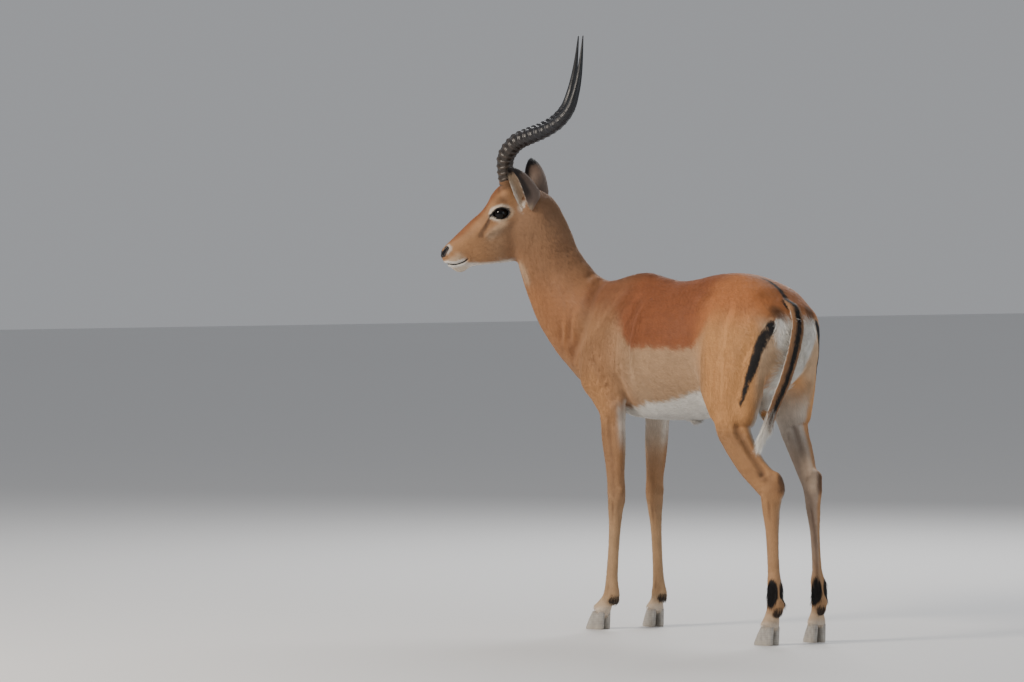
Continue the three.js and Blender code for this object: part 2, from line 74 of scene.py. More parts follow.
def along_rows(rows: np.ndarray, places: np.ndarray, s: np.ndarray) -> np.ndarray:
    """A smooth curve through rows of values.

    Args:
        rows: one row of values for each station.
        places: the distance of each station along the curve.
        s: the distances to read.

    Returns:
        One row of values for each distance.
    """
    n = len(rows)
    before, after = np.maximum(np.arange(n) - 1, 0), np.minimum(np.arange(n) + 1, n - 1)
    slope = (rows[after] - rows[before]) / (places[after] - places[before])[:, None]
    i = np.clip(np.searchsorted(places, s, side="right") - 1, 0, n - 2)
    span = (places[i + 1] - places[i])[:, None]
    t = ((s - places[i]) / span[:, 0])[:, None]
    t2, t3 = t * t, t * t * t
    return (
        (2 * t3 - 3 * t2 + 1) * rows[i]
        + (t3 - 2 * t2 + t) * span * slope[i]
        + (3 * t2 - 2 * t3) * rows[i + 1]
        + (t3 - t2) * span * slope[i + 1]
    )


def chain_distance(points: np.ndarray, chain: np.ndarray) -> tuple[np.ndarray, np.ndarray]:
    """How far points lie from a chain of segments.

    Args:
        points: n rows of three.
        chain: the chain's points, two at least.

    Returns:
        The distances, and how many links along the chain each nearest place lies.
    """
    best = np.full(len(points), 1e9)
    place = np.zeros(len(points))
    for k in range(len(chain) - 1):
        link = chain[k + 1] - chain[k]
        t = np.clip(((points - chain[k]) @ link) / (link @ link), 0.0, 1.0)
        d = np.linalg.norm(points - chain[k] - t[:, None] * link, axis=1)
        nearer = d < best
        best[nearer], place[nearer] = d[nearer], k + t[nearer]
    return best, place


def wobble(points: np.ndarray, size: float, seed: int = 0) -> np.ndarray:
    """A cheap smooth noise between about -1 and 1, with waves of the given size in millimetres."""
    rng = np.random.default_rng(100 + seed)
    total = np.zeros(len(points))
    for _ in range(6):
        direction = unit(rng.normal(size=3)) * rng.uniform(0.7, 1.6) * 2 * math.pi / size
        total += np.sin(points @ direction + rng.uniform(0, 2 * math.pi))
    return total / 3.0


# ---------------------------------------------------------------- lofts
@dataclass(frozen=True)
class Loft:
    """A body swept through sections.

    Each row is: forward, left, up, over, under, side, ridge, keel, square, yaw in degrees. Over and under are the
    section's reach above and below its centre, ridge and keel how much its top and bottom narrow, square its
    superellipse's exponent, and yaw turns its side direction from the animal's left towards its rear.
    """

    rows: tuple[tuple[float, ...], ...]
    rise: tuple[float, float, float] | None = None
    around: int = 44
    per_span: int = 7

    def path(self, share: np.ndarray | None = None) -> tuple[np.ndarray, np.ndarray]:
        """The rows at fine steps, or at shares of the whole length.

        Args:
            share: places from 0 to 1, or None for per_span steps in each span.

        Returns:
            The rows, and their distances along the loft.
        """
        table = np.array(self.rows, float)
        rows = np.column_stack([table[:, 1], -table[:, 0], table[:, 2:]])
        places = np.concatenate([[0.0], np.cumsum(np.linalg.norm(np.diff(rows[:, :3], axis=0), axis=1))])
        if share is None:
            k = np.arange((len(rows) - 1) * self.per_span + 1) / self.per_span
            s = np.interp(k, np.arange(len(rows)), places)
        else:
            s = np.asarray(share) * places[-1]
        return along_rows(rows, places, s), s

    def axes(self, rows: np.ndarray) -> tuple[np.ndarray, np.ndarray, np.ndarray]:
        """The side, up and along directions of each row."""
        along = unit(np.gradient(rows[:, :3], axis=0))
        if self.rise is not None:
            side = np.tile([1.0, 0.0, 0.0], (len(rows), 1))
            return side, np.tile(self.rise, (len(rows), 1)), along
        yaw = np.radians(rows[:, 9])
        side = np.column_stack([np.cos(yaw), -np.sin(yaw), np.zeros(len(rows))])
        side = unit(side - (side * along).sum(1, keepdims=True) * along)
        return side, np.cross(along, side), along

    def mesh(self, shrink: float = 0.0) -> tuple[np.ndarray, np.ndarray]:
        """The loft's closed mesh.

        Args:
            shrink: how far its sections are drawn in.

        Returns:
            Points, and triangles that face out.
        """
        rows, _ = self.path()
        side, up, _ = self.axes(rows)
        angle = np.arange(self.around) * 2 * math.pi / self.around
        over, under, wide = (np.maximum(rows[:, c] - shrink, 0.5)[:, None] for c in (3, 4, 5))
        power = 2.0 / rows[:, 8][:, None]
        rising = np.sign(np.sin(angle)) * np.abs(np.sin(angle)) ** power
        across = np.sign(np.cos(angle)) * np.abs(np.cos(angle)) ** power
        narrow = 1.0 - np.where(rising > 0, rows[:, 6][:, None], rows[:, 7][:, None]) * rising**2
        rings = (
            rows[:, None, :3]
            + (across * narrow * wide)[:, :, None] * side[:, None, :]
            + (rising * np.where(rising > 0, over, under))[:, :, None] * up[:, None, :]
        )
        return closed_tube(rings)


def closed_tube(rings: np.ndarray) -> tuple[np.ndarray, np.ndarray]:
    """A closed body over rings of equal length, with a fan at each end.

    Args:
        rings: rings by points by three.

    Returns:
        Points, and triangles that face out.
    """
    count, around = rings.shape[:2]
    points = np.concatenate([rings.reshape(-1, 3), rings[[0, -1]].mean(axis=1)])
    r, a = np.meshgrid(np.arange(count - 1), np.arange(around), indexing="ij")
    b = (a + 1) % around
    p, q, s, t = r * around + a, r * around + b, (r + 1) * around + a, (r + 1) * around + b
    first = np.stack([p, q, s], axis=-1).reshape(-1, 3)
    second = np.stack([q, t, s], axis=-1).reshape(-1, 3)
    a = np.arange(around)
    b, last, tip = (a + 1) % around, (count - 1) * around, count * around
    start = np.stack([b, a, np.full(around, tip)], axis=-1)
    end = np.stack([last + a, last + b, np.full(around, tip + 1)], axis=-1)
    faces = np.concatenate([first, second, start, end])
    corner = points[faces]
    volume = np.einsum("ij,ij->i", corner[:, 0], np.cross(corner[:, 1], corner[:, 2])).sum()
    return points, (faces if volume > 0 else faces[:, ::-1])


# ---------------------------------------------------------------- the head's own frame
@dataclass(frozen=True)
class HeadFrame:
    """Where the head stands: its origin lies between the eyes, and its long axis tilts down to the nose."""

    forward: float = 623.0
    left: float = 172.0
    up: float = 1050.0
    turn: float = 53.5
    tilt: float = 28.0
    roll: float = 1.8

    def matrix(self) -> np.ndarray:
        """The turn from the head's frame to the animal's, as three by three."""
        return np.array(Matrix.Rotation(math.radians(self.turn), 3, "Z") @ Matrix.Rotation(math.radians(self.roll), 3, "Y"))

    def origin(self) -> np.ndarray:
        """The head's origin in the animal's frame."""
        return at(self.forward, self.left, self.up)

    def axis(self) -> np.ndarray:
        """The head's long axis, towards the nose, in its own frame."""
        tilt = math.radians(self.tilt)
        return at(math.cos(tilt), 0, -math.sin(tilt))

    def rise(self) -> np.ndarray:
        """The direction square to the long axis, up through the forehead, in its own frame."""
        tilt = math.radians(self.tilt)
        return at(math.sin(tilt), 0, math.cos(tilt))

    def place(self, points: np.ndarray) -> np.ndarray:
        """Points of the head's frame in the animal's."""
        return points @ self.matrix().T + self.origin()

    def local(self, points: np.ndarray) -> np.ndarray:
        """Points of the animal's frame in the head's."""
        return (points - self.origin()) @ self.matrix()

    def reach(self, points: np.ndarray) -> np.ndarray:
        """Points of the animal's frame as reach to the nose, left, and rise."""
        own = self.local(points)
        return np.column_stack([own @ self.axis(), own[:, 0], own @ self.rise()])

    def spot(self, reach: float, left: float, rise: float) -> np.ndarray:
        """A point in the animal's frame from its reach, left and rise."""
        return self.place((reach * self.axis() + rise * self.rise() + np.array([left, 0, 0]))[None])[0]


HEAD_FRAME = HeadFrame()


# ---------------------------------------------------------------- meshes
def vertex_normals(points: np.ndarray, faces: np.ndarray) -> np.ndarray:
    """Smooth normals of a triangle mesh."""
    corner = points[faces]
    face = np.cross(corner[:, 1] - corner[:, 0], corner[:, 2] - corner[:, 0])
    normals = np.zeros_like(points)
    for c in range(3):
        for k in range(3):
            normals[:, k] += np.bincount(faces[:, c], face[:, k], len(points))
    return unit(normals)


def new_mesh(name: str, points: np.ndarray, faces: np.ndarray, smooth: bool = True) -> bpy.types.Object:
    """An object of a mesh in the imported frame.

    Args:
        name: the object's name.
        points: its points in the animal's frame, in millimetres.
        faces: its faces, all with as many corners.
        smooth: whether it is shaded smooth.

    Returns:
        The object, in the scene.
    """
    mesh = bpy.data.meshes.new(name)
    mesh.vertices.add(len(points))
    mesh.vertices.foreach_set("co", ((points + SHIFT) * METRE).astype(np.float32).ravel())
    mesh.loops.add(faces.size)
    mesh.loops.foreach_set("vertex_index", faces.astype(np.int32).ravel())
    mesh.polygons.add(len(faces))
    mesh.polygons.foreach_set("loop_start", np.arange(0, faces.size, faces.shape[1], dtype=np.int32))
    mesh.polygons.foreach_set("use_smooth", np.full(len(faces), smooth))
    mesh.update(calc_edges=True)
    mesh.validate()
    made = bpy.data.objects.new(name, mesh)
    bpy.context.collection.objects.link(made)
    return made


def set_attribute(made: bpy.types.Object, name: str, values: np.ndarray) -> None:
    """Stores values on an object's points.

    Args:
        made: the object.
        name: the attribute's name.
        values: one number, three (a vector), or four (a colour) for each point.
    """
    width = 1 if values.ndim == 1 else values.shape[1]
    kind, key = {1: ("FLOAT", "value"), 3: ("FLOAT_VECTOR", "vector"), 4: ("FLOAT_COLOR", "color")}[width]
    layer = made.data.attributes.new(name, kind, "POINT")
    layer.data.foreach_set(key, values.astype(np.float32).ravel())


def with_alpha(colour: np.ndarray) -> np.ndarray:
    """Colours with a fourth value of one."""
    return np.column_stack([colour, np.ones(len(colour))])


def finish_piece(made: bpy.types.Object, material: bpy.types.Material, nodes: tuple[str, ...] = ()) -> None:
    """Gives a piece its material, body and slot, and hides the CAD nodes that it stands for.

    Args:
        made: the piece.
        material: its material.
        nodes: the CAD nodes it replaces.
    """
    made.data.materials.clear()
    made.data.materials.append(material)
    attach(made, "root")
    if nodes:
        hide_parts(*nodes)
    made.data.calc_loop_triangles()
    LOG.info("%s: %d triangles", made.name, len(made.data.loop_triangles))


# ---------------------------------------------------------------- the body's shape
class Region(IntEnum):
    """The parts of the body that carry coat."""

    TRUNK = 0
    NECK = 1
    HEAD = 2
    TAIL = 3
    FORELEG_LEFT = 4
    FORELEG_RIGHT = 5
    HINDLEG_LEFT = 6
    HINDLEG_RIGHT = 7
    EAR_LEFT = 8
    EAR_RIGHT = 9


def trunk_loft() -> Loft:
    """The trunk, from rump to chest. Its table gives forward, axis, back, belly, side, ridge, keel and square."""
    table = (
        (-346, 760, 778, 735, 14, 0, 0, 2.15), (-339, 760, 796, 705, 42, 0, 0, 2.15),
        (-322, 762, 816, 672, 72, 0, 0.1, 2.3), (-294, 762, 840, 642, 96, 0, 0.1, 2.4),
        (-248, 762, 874, 612, 111, 0.02, 0.1, 2.5), (-180, 757, 898, 580, 114, 0.16, 0.1, 2.3),
        (-120, 748, 905, 560, 111, 0.28, 0.15, 2.2), (-40, 736, 901, 545, 111, 0.34, 0.2, 2.15),
        (40, 722, 888, 534, 121, 0.34, 0.22, 2.15), (110, 714, 883, 530, 124, 0.38, 0.28, 2.15),
        (175, 712, 892, 529, 117, 0.46, 0.34, 2.15), (235, 710, 902, 530, 104, 0.56, 0.4, 2.15),
        (300, 712, 896, 536, 92, 0.56, 0.42, 2.15), (360, 712, 878, 556, 86, 0.5, 0.36, 2.15),
        (410, 704, 836, 580, 80, 0.3, 0.26, 2.15), (450, 696, 784, 606, 70, 0.2, 0.2, 2.15),
        (474, 688, 736, 636, 50, 0, 0, 2.15), (484, 684, 708, 656, 26, 0, 0, 2.15),
    )
    rows = tuple((f, 0, a, b - a, a - v, s, r, k, q, 0) for f, a, b, v, s, r, k, q in table)
    return Loft(rows, rise=(0.0, 0.0, 1.0), around=56)


def neck_loft() -> Loft:
    """The neck. Its table gives forward, left, up, nape, throat, side and turn."""
    table = (
        (330, 2, 712, 130, 136, 76, 0), (425, 14, 766, 124, 142, 86, 8), (490, 34, 822, 100, 121, 76, 18),
        (524, 54, 876, 89, 100, 66, 28), (541, 74, 930, 80, 87, 58, 36), (546, 91, 985, 73, 83, 53, 44),
        (555, 106, 1036, 65, 76, 49, 50), (565, 116, 1070, 51, 52, 42, 53.5),
        (569, 120, 1090, 30, 34, 27, 53.5),
    )
    return Loft(tuple((f, l, u, n, t, s, 0.3, 0.15, 2.1, -turn) for f, l, u, n, t, s, turn in table))


def head_loft() -> Loft:
    """The head in its own frame. Its table gives reach, axis, bridge, jaw, side, ridge and keel."""
    table = (
        (-98, 4, 20, -10, 14, 0, 0), (-88, 2, 44, -44, 36, 0.1, 0.1), (-60, 4, 60, -84, 46, 0.15, 0.3),
        (-26, 6, 62, -108, 49, 0.2, 0.42), (0, 6, 52, -121, 52, 0.28, 0.45), (20, 0, 38, -126, 48, 0.3, 0.44),
        (44, -10, 27, -120, 41, 0.3, 0.42), (74, -22, 20, -108, 34, 0.25, 0.4), (104, -30, 11, -96, 28.5, 0.15, 0.32),
        (132, -36, 3, -86, 25, 0.1, 0.25), (156, -40, -4, -88, 23.5, 0.1, 0.25), (171, -38, -9, -79, 21.5, 0.1, 0.2),
        (181, -34, -14, -58, 17, 0, 0), (188, -30, -24, -40, 8, 0, 0),
    )
    axis, rise = HEAD_FRAME.axis(), HEAD_FRAME.rise()
    rows = []
    for reach, middle, bridge, jaw, side, ridge, keel in table:
        x, y, z = reach * axis + middle * rise
        rows.append((-y, x, z, bridge - middle, middle - jaw, side, ridge, keel, 2.1, 0))
    return Loft(tuple(rows), rise=tuple(rise))


FORE_JOINTS = {
    1: {"blade": (250, 34, 838), "shoulder": (316, 78, 672), "elbow": (292, 73, 546), "carpus": (270, 76, 342),
        "fetlock": (289, 81, 86), "coronet": (322, 84, 46)},
    -1: {"blade": (250, 34, 838), "shoulder": (316, 78, 672), "elbow": (292, 73, 546), "carpus": (302, 74, 338),
         "fetlock": (288, 76, 84), "coronet": (304, 77, 46)},
}
HIND_JOINTS = {"hip": (-190, 58, 838), "thigh": (-194, 82, 668), "stifle": (-213, 97, 517), "gaskin": (-257, 88, 444),
               "hock": (-311, 67, 378), "fetlock": (-331, 71, 98), "coronet": (-318, 75, 46)}
FORE_SECTIONS = (
    ("blade", 0, 34, 36, 12, 0, 2), ("blade", 0.42, 62, 60, 34, 0, 2), ("blade", 0.85, 94, 80, 36, 0, 2),
    ("shoulder", 0.22, 96, 76, 34, 0, 2), ("shoulder", 0.6, 70, 58, 29, 0, 2), ("elbow", 0, 42, 43, 25, 0, 2),
    ("elbow", 0.4, 37, 39, 23, 0, 2), ("elbow", 0.72, 30, 30, 21, 0, 2), ("carpus", 0, 24, 23, 21, 4, 2.3),
    ("carpus", 0.14, 22, 21, 19.5, 8, 2.2), ("carpus", 0.3, 18, 18, 15.5, 10, 2), ("carpus", 0.55, 16, 17, 13.5, 10, 2),
    ("carpus", 0.82, 17, 19, 14.5, 10, 2), ("fetlock", 0, 20, 25, 19, 10, 2), ("fetlock", 0.42, 20, 21, 17.5, 10, 2),
    ("fetlock", 0.8, 22, 21, 21, 10, 2.3), ("coronet", 0, 25, 23, 22.5, 10, 2.4),
)
HIND_SECTIONS = (
    ("hip", 0, 60, 60, 24, 0, 2), ("hip", 0.35, 136, 124, 44, 0, 2.2), ("hip", 0.7, 144, 122, 48, 0, 2.2),
    ("thigh", 0, 132, 107, 46, 0, 2.1), ("thigh", 0.4, 106, 89, 42, 4, 2), ("thigh", 0.75, 70, 66, 38, 8, 2),
    ("stifle", 0, 50, 45, 33, 12, 2), ("gaskin", 0, 40, 37, 26, 15, 2), ("gaskin", 0.55, 37, 36, 21, 16, 2),
    ("hock", -0.2, 35, 44, 19.5, 16, 2), ("hock", 0, 33, 42, 20, 16, 2), ("hock", 0.07, 29, 33, 20, 16, 2),
    ("hock", 0.2, 25, 24, 18, 18, 2), ("hock", 0.38, 19, 19, 12.5, 20, 2), ("hock", 0.7, 17, 18, 12.5, 20, 2),
    ("hock", 0.8, 18, 19, 18, 18, 2), ("hock", 0.93, 18, 19, 18, 18, 2), ("fetlock", 0, 20, 25, 18.5, 16, 2),
    ("fetlock", 0.42, 20, 21, 17.5, 14, 2), ("fetlock", 0.8, 22, 21, 21, 12, 2.3), ("coronet", 0, 25, 23, 22.5, 12, 2.4),
)


def leg_loft(joints: dict, sections: tuple, hand: int) -> Loft:
    """A leg from within the trunk to the coronet.

    Args:
        joints: the left leg's joints in order, each as forward, left and up.
        sections: joint, share of the way to the next, front, rear, side, turn and square.
        hand: 1 for the left leg and -1 for the right.

    Returns:
        The loft.
    """
    names = list(joints)
    rows = []
    for joint, share, front, rear, side, turn, square in sections:
        k = names.index(joint)
        here = np.array(joints[joint], float)
        there = np.array(joints[names[min(k + (-1 if share < 0 else 1), len(names) - 1)]], float)
        forward, left, up = here + abs(share) * (there - here)
        rows.append((forward, left * hand, up, front, rear, side, 0, 0, square, -turn * hand))
    return Loft(tuple(rows), around=36, per_span=5)


def tail_loft() -> Loft:
    """The tail. Its table gives forward, left, up, wide and thick."""
    table = (
        (-284, 0, 836, 14, 9), (-322, 4, 820, 17, 10), (-350, 15, 782, 20, 10), (-362, 32, 737, 21, 10),
        (-364, 47, 695, 21, 10), (-358, 62, 645, 21, 10), (-343, 77, 592, 19, 9), (-326, 87, 545, 15, 8),
        (-312, 92, 512, 9, 6), (-305, 94, 492, 2, 2),
    )
    return Loft(tuple((f, l, u, t, t, w, 0, 0, 2, 0) for f, l, u, w, t in table), around=24)


@dataclass(frozen=True)
class Limb:
    """A loft of the body, how deep its coat is, and how softly it joins what carries it."""

    region: Region
    loft: Loft
    coat: float
    blend: float
    in_head: bool = False

    def solid(self) -> tuple[np.ndarray, np.ndarray]:
        """Its mesh in the animal's frame."""
        points, faces = self.loft.mesh()
        return (HEAD_FRAME.place(points) if self.in_head else points), faces


LIMBS = (
    Limb(Region.TRUNK, trunk_loft(), 3.0, 0.0),
    Limb(Region.NECK, neck_loft(), 3.0, 34.0),
    Limb(Region.FORELEG_LEFT, leg_loft(FORE_JOINTS[1], FORE_SECTIONS, 1), 2.0, 14.0),
    Limb(Region.FORELEG_RIGHT, leg_loft(FORE_JOINTS[-1], FORE_SECTIONS, -1), 2.0, 14.0),
    Limb(Region.HINDLEG_LEFT, leg_loft(HIND_JOINTS, HIND_SECTIONS, 1), 2.0, 14.0),
    Limb(Region.HINDLEG_RIGHT, leg_loft(HIND_JOINTS, HIND_SECTIONS, -1), 2.0, 14.0),
    Limb(Region.TAIL, tail_loft(), 3.5, 6.0),
    Limb(Region.HEAD, head_loft(), 1.2, 16.0, True),
)


def smooth_union(a: np.ndarray, b: np.ndarray, soft: float) -> np.ndarray:
    """The union of two distance fields, its inner corner rounded over about soft millimetres."""
    if soft <= 0:
        return np.minimum(a, b)
    h = np.clip(0.5 + 0.5 * (b - a) / soft, 0.0, 1.0)
    return b + (a - b) * h - soft * h * (1.0 - h)


def smooth_cut(a: np.ndarray, b: np.ndarray, soft: float) -> np.ndarray:
    """Field a without field b, the edge rounded over about soft millimetres."""
    return -smooth_union(-a, b, soft)


def ellipsoid(p: np.ndarray, centre: tuple, radii: tuple) -> np.ndarray:
    """A distance, near its surface, to an ellipsoid. p has the three coordinates in its last axis."""
    q = p - np.array(centre)
    r = np.array(radii, float)
    k0 = np.linalg.norm(q / r, axis=-1)
    k1 = np.maximum(np.linalg.norm(q / r**2, axis=-1), 1e-6)
    return k0 * (k0 - 1.0) / k1


def stick(p: np.ndarray, start: np.ndarray, end: np.ndarray, radius: float) -> np.ndarray:
    """The distance to a round-ended rod. p has its coordinates in its last axis."""
    link = np.asarray(end, float) - np.asarray(start, float)
    t = np.clip(((p - start) @ link) / (link @ link), 0.0, 1.0)
    return np.linalg.norm(p - start - t[..., None] * link, axis=-1) - radius


@dataclass(frozen=True)
class Lattice:
    """An even grid of places round the flesh."""

    voxel: float = 2.0
    low: tuple[float, float, float] = (-140.0, -734.0, 34.0)
    high: tuple[float, float, float] = (306.0, 386.0, 1172.0)

    def size(self) -> tuple[int, int, int]:
        """How many places it has along each axis."""
        return tuple(int((high - low) / self.voxel) + 1 for low, high in zip(self.low, self.high))

    def window(self, low: np.ndarray, high: np.ndarray) -> tuple[slice, slice, slice]:
        """The slices of the grid that cover a box."""
        cuts = []
        for start, end, origin, count in zip(low, high, self.low, self.size()):
            first = max(int((start - origin) / self.voxel), 0)
            cuts.append(slice(first, min(int((end - origin) / self.voxel) + 2, count)))
        return tuple(cuts)

    def places(self, window: tuple[slice, slice, slice]) -> np.ndarray:
        """The grid's points in a window, with three coordinates in the last axis."""
        ticks = [np.arange(c.start, c.stop) * self.voxel + low for c, low in zip(window, self.low)]
        return np.stack(np.meshgrid(*ticks, indexing="ij"), axis=-1).astype(np.float32)

    def distances(self, points: np.ndarray, faces: np.ndarray, window: tuple[slice, slice, slice], band: float) -> np.ndarray:
        """Signed distances from a closed mesh, in millimetres and negative inside.

        Args:
            points: the mesh's points.
            faces: its triangles.
            window: the part of the grid to work them out on.
            band: how far from the surface they are known; beyond it they stay at this value.

        Returns:
            An array of the window's shape.
        """
        index = (points - np.array(self.low)) / self.voxel
        cells = vdb.FloatGrid.createLevelSetFromPolygons(
            index.astype(np.float32), triangles=faces.astype(np.uint32),
            transform=vdb.createLinearTransform(voxelSize=1.0), halfWidth=band / self.voxel,
        )
        values = np.zeros(tuple(c.stop - c.start for c in window), np.float32)
        cells.copyToArray(values, ijk=tuple(c.start for c in window))
        return values * self.voxel


@dataclass(frozen=True)
class Face:
    """The features of the head, in reach, left and rise."""

    eye_side: float = 35.5
    eye_radius: float = 19.5
    lid: float = 2.2
    opening_turn: float = 19.8  # degrees by which the front corner of the eye is raised
    opening_half: float = 19.5
    upper_lid: float = 14.0
    lower_lid: float = 13.0
    nostril: tuple = ((179.0, -25.0), (163.0, -14.5))
    nostril_width: float = 3.2
    mouth: tuple = ((188, -48), (180, -51), (172, -57), (163, -62), (148, -65), (138, -65.5), (128, -63))

    def opening(self, r: np.ndarray, w: np.ndarray) -> np.ndarray:
        """A distance, near its edge, from the almond between the lids, seen from the side."""
        c, s = math.cos(math.radians(self.opening_turn)), math.sin(math.radians(self.opening_turn))
        a, b = r * c + w * s, w * c - r * s
        tall = np.where(b > 0, self.upper_lid, self.lower_lid)
        wide = self.opening_half * np.where(a > 0, 1.08, 1.0)
        power = 1.75
        q = (np.abs(a / wide) ** power + np.abs(b / tall) ** power) ** (1 / power)
        return (q - 1.0) * 12.0

    def mouth_distance(self, r: np.ndarray, w: np.ndarray) -> np.ndarray:
        """The distance from the line of the mouth, seen from the side."""
        flat = np.stack([r.ravel(), w.ravel()], axis=-1)
        return chain_distance(flat, np.array(self.mouth, float))[0].reshape(r.shape)

    def nostril_distance(self, r: np.ndarray, w: np.ndarray) -> np.ndarray:
        """The distance from the middle line of a nostril, seen from the side."""
        return stick(np.stack([r, w], axis=-1), np.array(self.nostril[0]), np.array(self.nostril[1]), 0.0)


FACE = Face()
HORN_ROWS = (
    (-24, 23, 36, 18.5), (-18, 26, 70, 18.5), (-12, 33, 106, 19.5), (-14, 45, 145, 20.1), (-40, 68, 180, 19.7),
    (-74, 98, 197, 18.7), (-110, 126, 212, 17.1), (-144, 147, 234, 15.3), (-170, 160, 266, 12.9),
    (-184, 164, 306, 10.3), (-193, 161, 348, 7.7), (-199, 154, 394, 4.7), (-204, 147, 452, 1.2),
)
EAR_PLACES = {
    Region.EAR_LEFT: ((-90, 44, 2), (-14, 108, 124), (0.8, 0.55, -0.1)),
    Region.EAR_RIGHT: ((-98, -44, 4), (-82, -104, 126), (0.6, -0.75, 0.1)),
}


HEAD_FORMS = (
    ((24, 44, -32), (44, 16, 9), 2.6),  # the cheekbone
    ((66, 36, -54), (32, 14, 15), -3.0),  # the hollow ahead of the jaw's muscle
    ((-26, 54, -62), (36, 18, 36), 4.0),  # the jaw's muscle
    ((100, 28, -42), (34, 12, 12), -1.6),  # the side of the muzzle
    ((152, 21, -50), (18, 12, 10), 2.0),  # the upper lip
    ((36, 26, 16), (24, 12, 9), -2.2),  # the hollow ahead of the eye
    ((-34, 50, 12), (14, 14, 20), -2.5),  # the temple
    ((132, 14, -84), (18, 14, 10), 1.6),  # the chin
    ((96, 10, 8), (70, 9, 8), 1.0),  # the bridge of the nose
    ((-140, 0, -30), (26, 44, 26), -7.0),  # the nape behind the poll
)


def carve_head(shape: np.ndarray, places: np.ndarray) -> np.ndarray:
    """Adds brows, lids, nostrils, lips and the collars of horns and ears to the head's field.

    Args:
        shape: the field on the grid's points round the head.
        places: those points, in the animal's frame.

    Returns:
        The new field.
    """
    own = HEAD_FRAME.local(places.reshape(-1, 3)).reshape(places.shape)
    r, w = own @ HEAD_FRAME.axis(), own @ HEAD_FRAME.rise()
    side = np.abs(own[..., 0])
    p = np.stack([r, side, w], axis=-1)
    eye = (0.0, FACE.eye_side, 0.0)
    shape = smooth_union(shape, ellipsoid(p, (-4, 41, 17), (25, 9, 8)), 9.0)
    shape = smooth_union(shape, ellipsoid(p, (10, 37, -27), (36, 7, 6)), 10.0)
    shape = smooth_union(shape, ellipsoid(p, eye, (FACE.eye_radius + FACE.lid,) * 3), 6.0)
    for root, tip, opening in EAR_PLACES.values():
        start, along = at(*root), unit(at(*tip) - at(*root))
        front = unit(at(*opening) - (at(*opening) @ along) * along)
        shape = smooth_union(shape, stick(own, start - along * 14 - front * 4, start + along * 14 - front * 12, 23.0), 15.0)
    shape = smooth_union(shape, stick(own, at(-110, 12, 20), at(-66, 2, 34), 31.0), 26.0)
    for centre, radii, height in HEAD_FORMS:
        shape = shape - height * np.exp(-(((p - np.array(centre)) / np.array(radii)) ** 2).sum(-1))
    gland = chain_distance(np.stack([r.ravel(), w.ravel()], axis=-1), np.array([(27.0, 5.0), (48.0, -9.0)]))[0].reshape(r.shape)
    shape = shape + 1.8 * np.exp(-((gland / 2.6) ** 2)) * ramp(side, 12.0, 20.0)
    low, high = at(*HORN_ROWS[0][:3]), at(-17, 27.5, 79)
    mirrored = own.copy()
    mirrored[..., 0] = side
    shape = smooth_union(shape, stick(mirrored, low, high, 19.6), 9.0)
    opening = np.maximum(FACE.opening(r, w), 27.0 - side)
    shape = smooth_cut(shape, opening, 1.6)
    near = FACE.nostril_distance(r, w)
    shape = shape - 1.4 * np.exp(-(((near - 6.5) / 3.0) ** 2)) * ramp(side, 6.0, 14.0)
    shape = smooth_cut(shape, np.maximum(near - FACE.nostril_width, 11.0 - side), 2.0)
    lips = FACE.mouth_distance(r, w)
    shape = shape + 3.2 * np.exp(-((lips / 1.7) ** 2)) - 1.1 * np.exp(-(((lips - 5.5) / 3.2) ** 2))
    shape = shape + 1.8 * np.exp(-((side / 2.2) ** 2)) * ramp(r, 172.0, 184.0) * ramp(w, -52.0, -46.0)
    return shape.astype(np.float32)


FADE = 2.6  # widths at which a form has died away


@dataclass(frozen=True)
class Form:
    """A muscle, bone or hollow that swells or sinks the skin, on both sides of the animal unless one is named."""

    centre: tuple[float, float, float]
    radii: tuple[float, float, float]
    height: float
    hand: int = 0
    outer: bool = True  # it fades out near the middle line

    def chain(self) -> np.ndarray:
        """Its middle, as a row."""
        return np.array([at(*self.centre)])

    def reach(self) -> np.ndarray:
        """How far it acts along each axis."""
        return FADE * np.array([self.radii[1], self.radii[0], self.radii[2]])

    def lift(self, points: np.ndarray) -> np.ndarray:
        """How far it lifts points."""
        q = (points - at(*self.centre)) * FADE / self.reach()
        return self.height * np.exp(-(q**2).sum(-1))


@dataclass(frozen=True)
class Crease:
    """A groove or ridge along a chain of points, on both sides of the animal unless one is named."""

    places: tuple[tuple[float, float, float], ...]
    width: float
    height: float
    hand: int = 0
    outer: bool = True  # it fades out near the middle line

    def chain(self) -> np.ndarray:
        """Its points, one in each row."""
        return np.array([at(*c) for c in self.places])

    def reach(self) -> np.ndarray:
        """How far it acts along each axis."""
        return np.full(3, FADE * self.width)

    def lift(self, points: np.ndarray) -> np.ndarray:
        """How far it lifts points."""
        near, place = chain_distance(points.reshape(-1, 3), self.chain())
        depth = self.height * np.exp(-((near / self.width) ** 2)) * ramp(np.minimum(place, len(self.places) - 1 - place), 0.0, 0.7)
        return depth.reshape(points.shape[:-1])


